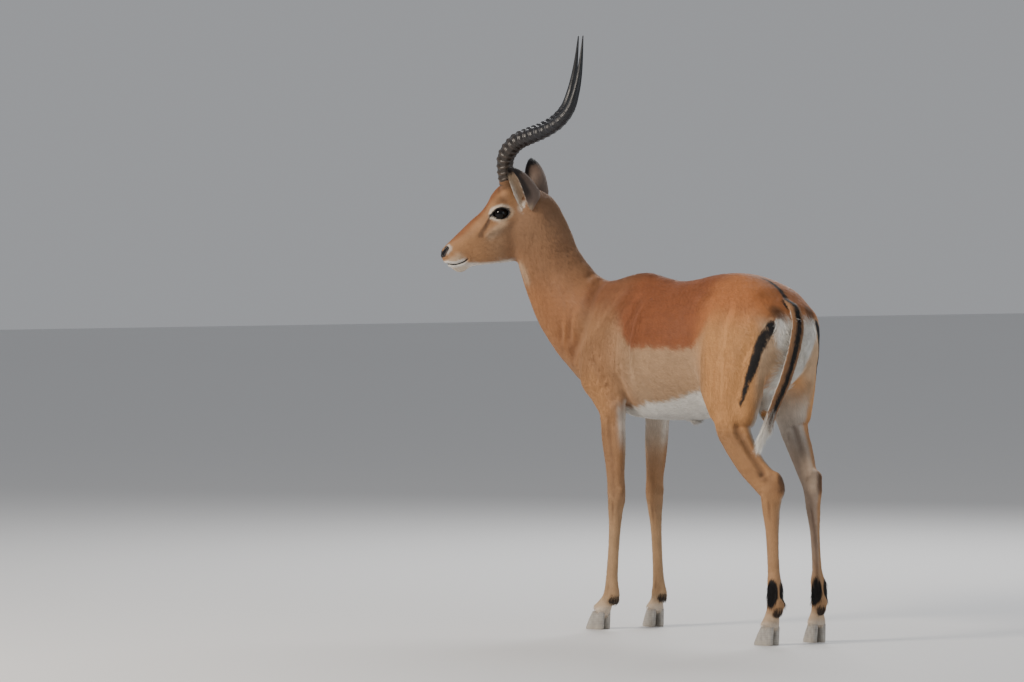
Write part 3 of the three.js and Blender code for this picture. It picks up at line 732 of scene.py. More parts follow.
FORMS = (
    Form((225, 112, 650), (58, 60, 70), 5.0),  # the muscle behind the upper arm
    Form((372, 84, 640), (34, 50, 42), 5.0),  # the point of the shoulder
    Form((285, 90, 760), (40, 50, 60), 3.0),  # the blade
    Form((262, 92, 556), (22, 30, 20), 4.0),  # the elbow
    Form((-62, 88, 832), (26, 50, 20), 5.5),  # the hip bone
    Form((-25, 116, 786), (46, 50, 34), -6.0),  # the hollow of the flank
    Form((-140, 116, 700), (60, 60, 90), 4.0),  # the front of the thigh
    Form((-235, 116, 660), (44, 60, 100), 4.0),  # the rear of the thigh
    Form((-300, 70, 808), (26, 40, 22), 3.5),  # the pin bone
    Form((-140, 100, 560), (26, 40, 30), 3.0),  # the kneecap
    Form((90, 122, 640), (120, 60, 70), 3.0),  # the ribs
    Form((0, 0, 905), (300, 16, 30), -2.0),  # the furrow of the back
)
CREASES = (
    Crease(((240, 50, 870), (262, 74, 820), (292, 84, 760), (322, 92, 690)), 24.0, 5.0),
    Crease(((196, 70, 850), (186, 108, 760), (188, 118, 660), (216, 100, 578), (232, 92, 540)), 17.0, -8.0),
    Crease(((352, 84, 712), (304, 104, 650), (262, 104, 592), (250, 96, 570)), 16.0, -6.0),
    Crease(((402, 10, 896), (400, 25, 880), (376, 78, 806), (392, 92, 741), (430, 88, 700), (452, 70, 672)), 16.0, -9.0, 1),
    Crease(((442, 14, 900), (440, 30, 880), (430, 80, 800), (440, 92, 740), (452, 90, 706)), 14.0, -7.0, 1),
    Crease(((464, 16, 896), (462, 34, 870), (462, 84, 800), (470, 90, 750), (480, 84, 712)), 13.0, -6.0, 1),
    Crease(((-200, 90, 860), (-184, 116, 770), (-178, 128, 680), (-184, 128, 600), (-200, 118, 530)), 20.0, -5.5),
    Crease(((-292, 96, 770), (-262, 114, 690), (-244, 116, 610), (-240, 110, 540), (-250, 100, 480)), 15.0, -5.0),
    Crease(((-95, 116, 760), (-80, 116, 680), (-92, 104, 612)), 16.0, -3.5),
    Crease(((-226, 112, 552), (-240, 110, 516), (-272, 100, 465), (-302, 86, 420), (-308, 84, 404)), 8.0, -7.5),
    Crease(((-222, 76, 552), (-238, 74, 516), (-270, 66, 465), (-302, 52, 420), (-308, 50, 404)), 8.0, -6.5),
    Crease(((-320, 82, 352), (-325, 83, 300), (-333, 85, 240), (-338, 86, 160)), 3.8, -3.0),
    Crease(((-320, 54, 352), (-325, 56, 300), (-333, 58, 240), (-338, 60, 160)), 3.8, -3.0),
)


def leg_marks() -> tuple[Form | Crease, ...]:
    """Bones, tendons and hollows of the legs, each set off from a joint or from a share of the way to the next."""
    marks = []
    for hand in (1, -1):
        for joints, table in ((FORE_JOINTS[hand], FORE_MARKS), (HIND_JOINTS, HIND_MARKS)):
            names = list(joints)
            for joint, share, offset, radii, height in table:
                here, there = (np.array(joints[n], float) for n in (joint, names[min(names.index(joint) + 1, len(names) - 1)]))
                marks.append(Form(tuple(here + share * (there - here) + offset), radii, height, hand, False))
        knee, fetlock = (np.array(FORE_JOINTS[hand][n], float) for n in ("carpus", "fetlock"))
        for across in (16.0, -15.0):
            line = [knee + t * (fetlock - knee) + (-6.0, across, 0.0) for t in (0.06, 0.3, 0.6, 0.92)]
            marks.append(Crease(tuple(tuple(p) for p in line), 3.8, -3.2, hand, False))
    return tuple(marks)


FORE_MARKS = (
    ("elbow", 0.0, (-32, 8, 6), (15, 13, 18), 5.0), ("elbow", 0.2, (14, 14, 0), (20, 12, 42), 3.0),
    ("elbow", 0.45, (-6, 24, 0), (7, 9, 60), -4.2), ("elbow", 0.8, (-20, 0, 0), (9, 14, 24), -3.2),
    ("carpus", 0.0, (17, 0, 4), (9, 16, 20), 4.0), ("carpus", 0.0, (-22, 3, 8), (8, 9, 12), 6.0),
    ("carpus", 0.05, (0, 20, 0), (13, 7, 11), 1.8), ("carpus", 0.05, (0, -20, 0), (13, 7, 11), 1.8),
    ("carpus", 0.17, (-16, 0, 0), (9, 14, 16), -3.0), ("fetlock", 0.0, (-18, 0, 2), (9, 13, 13), 3.4),
    ("fetlock", 0.0, (6, 0, 4), (14, 22, 12), 1.2), ("fetlock", 0.5, (-16, 0, 0), (9, 16, 10), -3.0),
)
HIND_MARKS = (
    ("hock", 0.0, (-31, 2, 36), (12, 11, 17), 5.0), ("hock", 0.0, (16, 0, 2), (10, 18, 16), 2.0),
    ("hock", 0.02, (-4, 20, 0), (14, 7, 12), 1.8), ("hock", 0.02, (-4, -20, 0), (14, 7, 12), 1.8),
    ("hock", 0.16, (-18, 0, 0), (9, 14, 20), -2.4), ("fetlock", 0.0, (-18, 0, 2), (9, 13, 13), 3.4),
    ("fetlock", 0.0, (6, 0, 4), (14, 22, 12), 1.2), ("fetlock", 0.5, (-16, 0, 0), (9, 16, 10), -3.0),
)
LEG_MARKS = leg_marks()


@dataclass
class Skin:
    """The one skin of trunk, neck, head, legs, tail and ears, as arrays that the coat grows from."""

    lattice: Lattice = field(default_factory=Lattice)
    band: float = 42.0
    margin: float = 14.0
    adaptivity: float = 0.05
    points: np.ndarray | None = None
    faces: np.ndarray | None = None
    normals: np.ndarray | None = None
    region: np.ndarray | None = None
    ear: np.ndarray | None = None  # for each point: share to the tip, place across from -1 to 1, and 1 inside

    def shape(self) -> tuple[np.ndarray, np.ndarray]:
        """The body's distance field on the lattice, and the region that each place belongs to."""
        grid = self.lattice
        body = np.full(grid.size(), self.band, np.float32)
        owner = np.zeros(grid.size(), np.uint8)
        for limb in LIMBS:
            points, faces = limb.solid()
            reach = self.margin + limb.blend
            window = grid.window(points.min(0) - reach, points.max(0) + reach)
            near = grid.distances(points, faces, window, self.band) + np.float32(limb.coat)
            owner[window] = np.where(near < body[window], int(limb.region), owner[window])
            body[window] = smooth_union(body[window], near, limb.blend)
        window = grid.window(at(-222, 0, 584) - 70, at(-222, 0, 584) + 70)
        scrotum = ellipsoid(grid.places(window), tuple(at(-222, 0, 584)), (23, 27, 43))
        body[window] = smooth_union(body[window], scrotum, 12.0)
        window = grid.window(at(62, 0, 545) - 50, at(62, 0, 545) + 50)
        sheath = stick(grid.places(window), at(20, 0, 549), at(64, 0, 539), 7.0)
        body[window] = smooth_union(body[window], sheath, 10.0)
        for mark in FORMS + CREASES + LEG_MARKS:
            for hand in (mark.hand,) if mark.hand else (1, -1):
                chain = mark.chain() * np.array([hand, 1, 1])
                window = grid.window(chain.min(0) - mark.reach(), chain.max(0) + mark.reach())
                places = grid.places(window)
                mirror = places * np.array([hand, 1, 1], np.float32)
                outward = np.maximum(ramp(mirror[..., 0], 8.0, 30.0), 0.25) if mark.outer else 1.0
                body[window] -= (mark.lift(mirror) * outward).astype(np.float32)
        points = HEAD_FRAME.place(self.head_box())
        window = grid.window(points.min(0), points.max(0))
        body[window] = carve_head(body[window], grid.places(window))
        return body, owner

    def head_box(self) -> np.ndarray:
        """The corners of a box round the head, in its own frame."""
        return np.array([[x, y, z] for x in (-66, 66) for y in (-205, 175) for z in (-150, 100)], float)

    def build(self) -> None:
        """Meshes the field and adds the ears."""
        body, owner = self.shape()
        cells = vdb.FloatGrid(float(self.band))
        cells.copyFromArray(body)
        index, triangles, quads = cells.convertToPolygons(isovalue=0.0, adaptivity=self.adaptivity)
        index, quads = np.asarray(index, float), np.asarray(quads).astype(np.int64)
        near = np.rint(index).astype(int)
        region = owner[tuple(np.clip(near[:, k], 0, body.shape[k] - 1) for k in range(3))]
        points = index * self.lattice.voxel + np.array(self.lattice.low)
        triangles = np.asarray(triangles).astype(np.int64).reshape(-1, 3)
        faces = np.concatenate([triangles, quads[:, [0, 1, 2]], quads[:, [0, 2, 3]]])
        corner = points[faces]
        volume = np.einsum("ij,ij->i", corner[:, 0], np.cross(corner[:, 1], corner[:, 2])).sum()
        faces = faces if volume > 0 else faces[:, ::-1]
        points, faces, region = keep_largest(points, faces, region)
        parts = [(points, faces, region, np.full((len(points), 3), -1.0))] + [ear_sheet(place) for place in EAR_PLACES]
        starts = np.cumsum([0] + [len(part[0]) for part in parts])
        self.points, self.region, self.ear = (np.concatenate([part[k] for part in parts]) for k in (0, 2, 3))
        self.faces = np.concatenate([part[1] + start for part, start in zip(parts, starts)])
        self.normals = vertex_normals(self.points, self.faces)
        LOG.info("skin: %d points, %d triangles", len(self.points), len(self.faces))


def keep_largest(points: np.ndarray, faces: np.ndarray, region: np.ndarray) -> tuple[np.ndarray, np.ndarray, np.ndarray]:
    """Drops the loose crumbs of a mesh, so that only its largest body is left."""
    label = np.arange(len(points))
    while True:
        low = label[faces].min(1)
        new = label.copy()
        for c in range(3):
            np.minimum.at(new, faces[:, c], low)
        new = new[new]
        if np.array_equal(new, label):
            break
        label = new
    main = np.bincount(label).argmax()
    kept = label == main
    order = np.cumsum(kept) - 1
    return points[kept], order[faces[kept[faces[:, 0]]]], region[kept]


# ---------------------------------------------------------------- ears
@dataclass(frozen=True)
class EarShape:
    """The size of an ear: a cupped leaf whose wall thins to its rim and tip."""

    length: float = 150.0
    width: float = 58.0
    depth: float = 54.0
    coat: float = 0.6
    wall: float = 2.6
    rows: int = 44
    columns: int = 36
    rim: float = 128.0  # degrees of the rim from the middle of the back, at the root
    opens: float = 40.0

    def sheet(self, place: Region, inset: float) -> tuple[np.ndarray, np.ndarray]:
        """One face of the ear.

        Args:
            place: which ear.
            inset: 0 for the outer face and 1 for the inner.

        Returns:
            Points by row and column in the animal's frame, and each one's share, turn and inside value.
        """
        root, tip, opening = (at(*v) for v in EAR_PLACES[place])
        along = unit(tip - root)
        front = unit(opening - (opening @ along) * along)
        across = np.cross(along, front)
        s = np.linspace(0.0, 0.995, self.rows)[:, None]
        v = np.linspace(-1.0, 1.0, self.columns)[None, :]
        wide = self.width / 2 * (0.62 + 0.75 * s) * (1 - s**2.4) ** 0.65 + 1.2
        deep = self.depth * (0.66 + 0.45 * s) * (1 - s**2) ** 0.75 + 1.2
        stalk = 0.34 + 0.66 * ramp(s, 0.0, 0.3)
        wide, deep = wide * stalk, deep * stalk
        angle = np.radians(self.rim - self.opens * s) * v
        wall = self.coat + inset * self.wall * (1 - 0.6 * np.abs(v) ** 4) * (1 - 0.4 * s)
        w, d = np.maximum(wide - wall, 0.5), np.maximum(deep - wall, 0.5)
        fold = 1.2 * np.exp(-(((v - 0.25) / 0.12) ** 2)) * ramp(s, 0.0, 0.3) * (1 - s)
        points = (
            root
            + (s * (self.length - 1.0))[..., None] * along
            + (w * np.sin(angle))[..., None] * across
            - ((d - fold) * (np.cos(angle) - 0.05))[..., None] * front
        )
        facts = np.stack(np.broadcast_arrays(s, v, np.full_like(s, inset)), axis=-1)
        return HEAD_FRAME.place(points.reshape(-1, 3)), facts.reshape(-1, 3)


EAR = EarShape()


def ear_sheet(place: Region) -> tuple[np.ndarray, np.ndarray, np.ndarray, np.ndarray]:
    """An ear as a closed shell.

    Args:
        place: which ear.

    Returns:
        Points, triangles, the region of each point, and its share, turn and inside value.
    """
    outer, outer_facts = EAR.sheet(place, 0.0)
    inner, inner_facts = EAR.sheet(place, 1.0)
    n, columns, rows = len(outer), EAR.columns, EAR.rows
    r, c = np.meshgrid(np.arange(rows - 1), np.arange(columns - 1), indexing="ij")
    p = (r * columns + c).ravel()
    quads = [np.stack([p, p + 1, p + columns + 1, p + columns], -1), np.stack([p + n, p + n + columns, p + n + columns + 1, p + n + 1], -1)]
    r = np.arange(rows - 1) * columns
    quads.append(np.stack([r, r + columns, r + columns + n, r + n], -1))
    e = r + columns - 1
    quads.append(np.stack([e, e + n, e + n + columns, e + columns], -1))
    for start, turned in ((0, False), ((rows - 1) * columns, True)):
        c = start + np.arange(columns - 1)
        end = np.stack([c, c + n, c + n + 1, c + 1], -1)
        quads.append(end[:, ::-1] if turned else end)
    quads = np.concatenate(quads)
    points = np.concatenate([outer, inner])
    faces = np.concatenate([quads[:, [0, 1, 2]], quads[:, [0, 2, 3]]])
    corner = points[faces]
    volume = np.einsum("ij,ij->i", corner[:, 0] - points[0], np.cross(corner[:, 1] - points[0], corner[:, 2] - points[0])).sum()
    faces = faces if volume > 0 else faces[:, ::-1]
    return points, faces, np.full(len(points), int(place)), np.concatenate([outer_facts, inner_facts])


# ---------------------------------------------------------------- markings
@dataclass(frozen=True)
class Palette:
    """The coat's colours, as linear red, green and blue."""

    saddle: tuple = (0.27, 0.088, 0.032)
    rump: tuple = (0.46, 0.172, 0.058)
    thigh: tuple = (0.58, 0.285, 0.110)
    flank: tuple = (0.45, 0.285, 0.165)
    shoulder: tuple = (0.37, 0.190, 0.090)
    neck: tuple = (0.260, 0.132, 0.064)
    fore: tuple = (0.35, 0.185, 0.088)
    shank: tuple = (0.46, 0.288, 0.155)
    white: tuple = (0.76, 0.73, 0.67)
    cream: tuple = (0.60, 0.47, 0.33)
    # grey is the white as seen in shade, laid as painted shade under the belly and inside the hind legs
    grey: tuple = (0.34, 0.315, 0.30)
    black: tuple = (0.012, 0.010, 0.010)
    umber: tuple = (0.085, 0.040, 0.020)
    face: tuple = (0.375, 0.195, 0.090)
    bridge: tuple = (0.27, 0.105, 0.040)
    cheek: tuple = (0.250, 0.150, 0.085)
    ear: tuple = (0.20, 0.145, 0.115)
    pink: tuple = (0.36, 0.21, 0.165)
    hide: tuple = (0.014, 0.012, 0.013)


COLOURS = Palette()


@dataclass
class Spots:
    """Places on the skin, with all that the coat there depends on."""

    points: np.ndarray
    normals: np.ndarray
    region: np.ndarray
    ear: np.ndarray

    def __post_init__(self) -> None:
        """Works out the coordinates that the markings use."""
        self.forward, self.left, self.up = -self.points[:, 1], self.points[:, 0], self.points[:, 2]
        self.side = np.abs(self.left)
        self.head = HEAD_FRAME.reach(self.points)
        self.folded = self.points.copy()
        self.folded[:, 0] = self.side
        own = HEAD_FRAME.local(self.points)
        horns = np.stack([np.linalg.norm((own - at(-17, 27 * hand, 62))[:, :2], axis=1) for hand in (1, -1)])
        self.horn_gap = horns.min(0)
        self.on = {part: self.region == int(part) for part in Region}


class Coat:
    """The markings, lie and length of the coat, worked out from where a spot lies on the body."""

    def __init__(self, skin: Skin) -> None:
        """Lays the black stripes' middle lines on the skin.

        Args:
            skin: the skin.
        """
        self.stripes = []
        for line in (self.rump_stripe, self.croup_stripe):
            chain = np.array([at(*c) for c in line])
            steps = np.linspace(0, len(chain) - 1, 25)
            dense = np.column_stack([np.interp(steps, np.arange(len(chain)), chain[:, k]) for k in range(3)])
            near = skin.points[skin.region != Region.TAIL]
            snapped = np.array([near[np.linalg.norm(near - c, axis=1).argmin()] for c in dense])
            for _ in range(3):
                snapped[1:-1] = (snapped[:-2] + 2 * snapped[1:-1] + snapped[2:]) / 4
            self.stripes.append(snapped)

    rump_stripe = ((-319, 71, 779), (-309, 83, 757), (-302, 94, 734), (-294, 102, 701), (-285, 105, 669), (-273, 108, 645),
                   (-263, 111, 608), (-252, 113, 580))
    rump_width = (11.0, 14.0, 14.0, 12.0, 11.0, 9.0, 6.0, 3.0)
    croup_stripe = ((-150, 0, 900), (-210, 0, 888), (-276, 2, 853), (-317, 8, 831))

    def paint(self, colour: np.ndarray, shade: tuple, share: np.ndarray) -> np.ndarray:
        """Lays one colour over another where share is 1."""
        share = np.clip(share, 0.0, 1.0)[:, None]
        return colour * (1.0 - share) + np.array(shade) * share

    def colours(self, spots: Spots) -> np.ndarray:
        """The coat's colour at each spot."""
        colour = np.tile(COLOURS.shoulder, (len(spots.points), 1)).astype(float)
        body = ~(spots.on[Region.HEAD] | spots.on[Region.EAR_LEFT] | spots.on[Region.EAR_RIGHT] | spots.on[Region.TAIL])
        for part, painter in ((body, self.body), (spots.on[Region.TAIL], self.tail), (spots.on[Region.HEAD], self.face)):
            if part.any():
                chosen = Spots(spots.points[part], spots.normals[part], spots.region[part], spots.ear[part])
                colour[part] = painter(chosen)
        ears = spots.on[Region.EAR_LEFT] | spots.on[Region.EAR_RIGHT]
        if ears.any():
            colour[ears] = self.ears(spots.ear[ears], spots.points[ears])
        mottle = 1.0 + 0.05 * wobble(spots.points, 60.0, 1) + 0.035 * wobble(spots.points, 18.0, 2)
        return np.clip(colour * mottle[:, None], 0.0, 1.0)

    def body(self, s: Spots) -> np.ndarray:
        """Colours of trunk, neck and legs."""
        f, up, side = s.forward, s.up, s.side
        ragged = 3.0 * wobble(s.points, 26.0, 3) + 1.5 * wobble(s.points, 9.0, 4)
        colour = np.tile(COLOURS.flank, (len(f), 1)).astype(float)
        ahead, behind = ramp(f, 165.0, 300.0), ramp(f, -48.0, -140.0)
        colour = self.paint(colour, COLOURS.thigh, behind)
        colour = self.paint(colour, COLOURS.shoulder, ahead)
        colour = self.paint(colour, COLOURS.thigh, 0.45 * ramp(f, 230.0, 330.0) * ramp(up, 690.0, 600.0) * ramp(side, 40.0, 90.0))
        edge = 716.0 + 78.0 * behind + 88.0 * ahead
        soft = 7.0 + 38.0 * behind + 34.0 * ahead
        saddle = ramp(up - edge + ragged, -soft, soft)
        tone = self.paint(np.tile(COLOURS.saddle, (len(f), 1)).astype(float), COLOURS.rump, ramp(f, -30.0, -130.0))
        tone = self.paint(tone, COLOURS.saddle, 0.35 * ramp(f, -225.0, -300.0))
        tone = self.paint(tone, COLOURS.neck, 0.45 * ramp(f, 200.0, 330.0))
        colour = colour * (1 - saddle[:, None]) + tone * saddle[:, None]
        colour = self.paint(colour, COLOURS.umber, 0.35 * ramp(side, 34.0, 4.0) * ramp(up, 850.0, 885.0))
        neck = ramp(f, 385.0, 440.0) * ramp(up, 640.0, 720.0)
        colour = self.paint(colour, COLOURS.neck, neck)
        # painted light on the neck: warmer where it faces ahead and to the animal's left, as if lit there, and paler
        # high up where it faces back and to its right, a painted rim light
        front = unit(np.column_stack([np.sin(np.radians(30)) * np.ones(len(f)), -np.cos(np.radians(30)) * np.ones(len(f))]))
        facing = (s.normals[:, :2] * front).sum(1)
        colour = self.paint(colour, COLOURS.thigh, 0.4 * neck * ramp(facing, 0.3, 0.95))
        colour = self.paint(colour, COLOURS.flank, 0.3 * neck * ramp(facing, -0.75, -1.0) * ramp(up, 1080.0, 980.0))
        colour = self.paint(colour, COLOURS.rump, 0.35 * neck * ramp(up, 930.0, 820.0))
        chain = np.array([at(582, 137, 912), at(575, 130, 880)])
        near, _ = chain_distance(s.points, chain)
        colour = self.paint(colour, COLOURS.cream, 0.4 * ramp(near, 24.0, 4.0))
        colour = self.paint(colour, COLOURS.cheek, 0.35 * neck * ramp(up, 930.0, 1010.0))
        # painted shade: darker brown along the folds of the neck and the creases round the shoulder and upper arm
        for fold, share in ((CREASES[3], 0.34), (CREASES[4], 0.3), (CREASES[5], 0.3), (CREASES[1], 0.3), (CREASES[2], 0.22)):
            near, _ = chain_distance(s.folded, fold.chain())
            colour = self.paint(colour, COLOURS.umber, share * ramp(near, fold.width * 1.2, 0.0) * (up > 545))
        belly = 562.0 + 16.0 * ramp(f, 252.0, 150.0) + 40.0 * ramp(f, 130.0, -110.0)
        inner = ramp(s.normals[:, 0] * np.sign(s.left), 0.2, -0.5)
        colour = self.paint(colour, COLOURS.white, s.on[Region.TRUNK] * ramp(up - belly + ragged, 8.0, -6.0) * ramp(f, 350.0, 300.0))
        # painted shade: the white underside of the chest and belly greyed as if shaded
        colour = self.paint(colour, COLOURS.grey, 0.5 * s.on[Region.TRUNK] * ramp(up, 552.0, 534.0) * ramp(f, 330.0, 60.0))
        colour = self.stern(colour, s, inner, ragged)
        return self.legs(colour, s, inner)

    def stern(self, colour: np.ndarray, s: Spots, inner: np.ndarray, ragged: np.ndarray) -> np.ndarray:
        """Paints the buttocks: their white, their black stripes and the stripe of the croup."""
        f, up, side = s.forward, s.up, s.side
        rear = ramp(f, -262.0, -300.0)
        width = np.interp(up, [540, 600, 670, 735, 785, 800], [26, 34, 46, 60, 66, 52])
        tan = rear * ramp(up, 812.0, 775.0)
        colour = self.paint(colour, COLOURS.cream, 0.6 * tan * ramp(up, 500.0, 560.0) * ramp(side, 104.0, 86.0))
        white = ramp(side - width + ragged, 9.0, -6.0) * ramp(f, -225.0, -270.0) * ramp(up, 812.0, 790.0)
        colour = self.paint(colour, COLOURS.white, white)
        colour = self.paint(colour, COLOURS.umber, 0.75 * ramp(np.hypot(side - 52, up - 812), 24.0, 8.0) * ramp(f, -262.0, -290.0))
        near, place = chain_distance(s.folded, self.stripes[0])
        width = np.interp(place / 24, np.linspace(0, 1, len(self.rump_width)), self.rump_width)
        colour = self.paint(colour, COLOURS.black, ramp(near - width + 0.12 * ragged, 1.2, -1.2))
        near, place = chain_distance(s.points, self.stripes[1])
        return self.paint(colour, COLOURS.black, ramp(near - (2.0 + 0.22 * place), 3.0, -1.0) * ramp(f, -170.0, -215.0))

    def legs(self, colour: np.ndarray, s: Spots, inner: np.ndarray) -> np.ndarray:
        """Paints the legs: paler inside and lower down, with dark tufts over the fetlocks, and painted shade along
        their grooves and on the inner sides of the hind legs.
        """
        f, up, side = s.forward, s.up, s.side
        fore = s.on[Region.FORELEG_LEFT] | s.on[Region.FORELEG_RIGHT]
        hind = s.on[Region.HINDLEG_LEFT] | s.on[Region.HINDLEG_RIGHT]
        low = ramp(up, 560.0, 500.0)
        colour = self.paint(colour, COLOURS.fore, fore * low)
        colour = self.paint(colour, COLOURS.fore, 0.75 * hind * low)
        colour = self.paint(colour, COLOURS.shank, fore * ramp(up, 420.0, 200.0))
        colour = self.paint(colour, COLOURS.shank, 0.45 * hind * ramp(up, 420.0, 200.0))
        colour = self.paint(colour, COLOURS.cream, 0.5 * inner * np.where(fore, ramp(up, 360.0, 520.0), hind * ramp(up, 250.0, 420.0)) * ramp(up, 640.0, 570.0))
        colour = self.paint(colour, COLOURS.white, 0.55 * inner * (fore | hind) * ramp(up, 640.0, 560.0) * ramp(up, 430.0, 545.0))
        # painted shade: the pale inner sides of the hind legs greyed as if shaded
        colour = self.paint(colour, COLOURS.grey, 0.45 * inner * hind * ramp(up, 600.0, 520.0) * ramp(up, 120.0, 240.0))
        rearward = ramp(s.normals[:, 1], 0.3, 0.9)
        colour = self.paint(colour, COLOURS.white, 0.6 * fore * rearward**2 * ramp(up, 590.0, 550.0) * ramp(up, 440.0, 520.0))
        colour = self.paint(colour, COLOURS.umber, 0.16 * (fore | hind) * ramp(s.normals[:, 1], 0.2, -0.8) * ramp(up, 300.0, 480.0))
        colour = self.paint(colour, COLOURS.umber, 0.8 * hind * rearward * ramp(np.abs(up - 396), 34.0, 14.0))
        colour = self.paint(colour, COLOURS.umber, 0.25 * fore * ramp(np.abs(up - 340), 30.0, 5.0) * ramp(s.normals[:, 1], 0.0, -0.8))
        # painted shade: darker brown along the grooves behind the gaskins and beside the tendons
        for mark in CREASES[9:] + tuple(m for m in LEG_MARKS if isinstance(m, Crease)):
            mine = (s.left * mark.hand > 0) if mark.hand else np.ones(len(f), bool)
            near = np.full(len(f), 99.0)
            near[mine] = chain_distance(s.folded[mine], mark.chain())[0]
            colour = self.paint(colour, COLOURS.umber, 0.5 * (fore | hind) * ramp(near, 1.6 * mark.width, 0.0))
        # painted shade: a dark line down the groove on the outer side of each forearm
        for hand in (1, -1):
            line = np.array([at(*(np.array(FORE_JOINTS[hand][n], float) + (-9.0, 20.0, 0.0))) for n in ("elbow", "carpus")])
            near, _ = chain_distance(s.folded, line)
            colour = self.paint(colour, COLOURS.umber, 0.3 * fore * (s.left * hand > 0) * ramp(near, 11.0, 2.0))
        colour = self.paint(colour, COLOURS.cream, 0.6 * (fore | hind) * ramp(up, 96.0, 66.0))
        colour = self.paint(colour, COLOURS.white, 0.4 * (fore | hind) * ramp(up, 66.0, 50.0))
        gland = np.minimum(*(np.linalg.norm((s.folded - at(*c)) / np.array([15, 15, 32]), axis=1) for c in ((-336, 86, 133), (-338, 55, 131))))
        colour = self.paint(colour, COLOURS.black, hind * ramp(gland, 1.08, 0.92))
        pastern = np.where(fore, np.where(s.left > 0, -268.0, -264.0), 352.0)
        heel = np.hypot((s.points[:, 1] - pastern) / np.where(fore, 9.0, 14.0), (up - 79.0) / np.where(fore, 8.5, 14.0))
        return self.paint(colour, COLOURS.black, 0.92 * (fore | hind) * ramp(heel, 1.15, 0.85) * ramp(s.normals[:, 1], -0.1, 0.35))

    def tail(self, s: Spots) -> np.ndarray:
        """Colours of the tail: tan with a black stripe down its back, white at its edges, below and at the tip."""
        share, across, _, _ = TAIL_LOFT_READER.read(s.points)
        colour = np.tile(COLOURS.shoulder, (len(share), 1)).astype(float)
        colour = self.paint(colour, COLOURS.umber, 0.3 * ramp(share, 0.0, 0.4))
        ragged = 1.2 * wobble(s.points, 16.0, 14)
        colour = self.paint(colour, COLOURS.white, ramp(np.abs(across) + ragged, 18.0, 20.0) * ramp(share, 0.2, 0.35))
        colour = self.paint(colour, COLOURS.white, ramp(s.normals[:, 1], -0.15, -0.4) * ramp(share, 0.02, 0.12))
        colour = self.paint(colour, COLOURS.black, ramp(np.abs(across), 8.0, 6.4) * ramp(s.normals[:, 1], -0.1, 0.15) * ramp(share, 0.83, 0.77))
        return self.paint(colour, COLOURS.white, ramp(share + 0.02 * ragged, 0.77, 0.84))

    def face(self, s: Spots) -> np.ndarray:
        """Colours of the head."""
        r, l, w = s.head.T
        side = np.abs(l)
        colour = np.tile(COLOURS.face, (len(r), 1)).astype(float)
        colour = self.paint(colour, COLOURS.cheek, 0.85 * ramp(r, 112.0, 24.0) * ramp(w, -8.0, -46.0))
        colour = self.paint(colour, COLOURS.bridge, ramp(side, 26.0, 12.0) * ramp(w, -14.0, 2.0) * ramp(r, 175.0, 150.0))
        colour = self.paint(colour, COLOURS.bridge, 0.8 * ramp(side, 40.0, 18.0) * ramp(w, 22.0, 44.0))
        behind = (ramp(r + 1.05 * w, -8.0, -62.0) * ramp(r, 62.0, 22.0))[:, None]
        colour = colour * (1 - behind) + self.body(s) * behind
        jaw = -6.0 + np.interp(r, [-90, -40, 0, 20, 44, 74, 104, 124, 140, 165, 190], [-80, -100, -110, -114, -108, -97, -84, -72, -64, -54, -46])
        colour = self.paint(colour, COLOURS.white, 0.85 * ramp(w - jaw, 5.0, -4.0) * ramp(r + 0.533 * w, -46.0, -20.0))
        colour = self.paint(colour, COLOURS.cream, 0.6 * ramp(r, 128.0, 150.0) * ramp(w, -34.0, -48.0))
        near, place = chain_distance(np.column_stack([r, w]), np.array([(24.0, 9.0), (38.0, -3.0), (57.0, -14.0), (75.0, -24.0)]))
        colour = self.paint(colour, COLOURS.umber, (1.0 - 0.13 * place) * ramp(near - 0.9 * place, 6.0, 1.5) * ramp(side, 14.0, 24.0))
        near, _ = chain_distance(np.column_stack([r, w]), np.array([(6.0, -24.0), (52.0, -38.0)]))
        colour = self.paint(colour, COLOURS.cream, 0.32 * ramp(near, 17.0, 2.0) * (side > 20))
        ring = FACE.opening(r, w)
        seen = ramp(side, 30.0, 40.0)
        colour = self.paint(colour, COLOURS.white, 0.8 * ramp(ring, 9.0, 5.0) * seen * ramp(r * 0.35 + w, -18.0, 0.0))
        colour = self.paint(colour, COLOURS.cream, 0.55 * ramp(ring, 10.5, 5.0) * seen)
        colour = self.paint(colour, COLOURS.umber, 0.5 * ramp(np.hypot((r + 20) / 24, (w - 29) / 12), 1.3, 0.3) * (side > 20))
        colour = self.paint(colour, COLOURS.umber, 0.55 * ramp(s.horn_gap, 34.0, 24.0) * ramp(w, 44.0, 52.0))
        colour = self.paint(colour, COLOURS.white, 0.7 * ramp(np.linalg.norm(s.head - (-60, 60, -14), axis=1), 26.0, 12.0))
        colour = self.paint(colour, COLOURS.hide, seen * ramp(ring, 3.4, 2.0))
        tear, _ = chain_distance(np.column_stack([r, w]), np.array([(19.0, 7.0), (28.0, 8.0)]))
        colour = self.paint(colour, COLOURS.hide, seen * ramp(tear, 5.0, 3.4))
        nostril = FACE.nostril_distance(r, w)
        colour = self.paint(colour, COLOURS.white, 0.6 * ramp(nostril, 13.0, 8.0) * ramp(r, 176.0, 164.0) * (side > 8))
        colour = self.paint(colour, COLOURS.hide, ramp(nostril, 6.6, 4.8) * (side > 6))
        nose = ramp(r, 174.0, 179.0) * ramp(w, -33.0, -29.0)
        colour = self.paint(colour, COLOURS.hide, nose)
        lips = FACE.mouth_distance(r, w)
        colour = self.paint(colour, COLOURS.white, 0.85 * ramp(lips, 10.0, 6.0) * ramp(r, 128.0, 146.0))
        return self.paint(colour, COLOURS.hide, ramp(lips, 2.4, 1.2) * ramp(r, 126.0, 134.0))

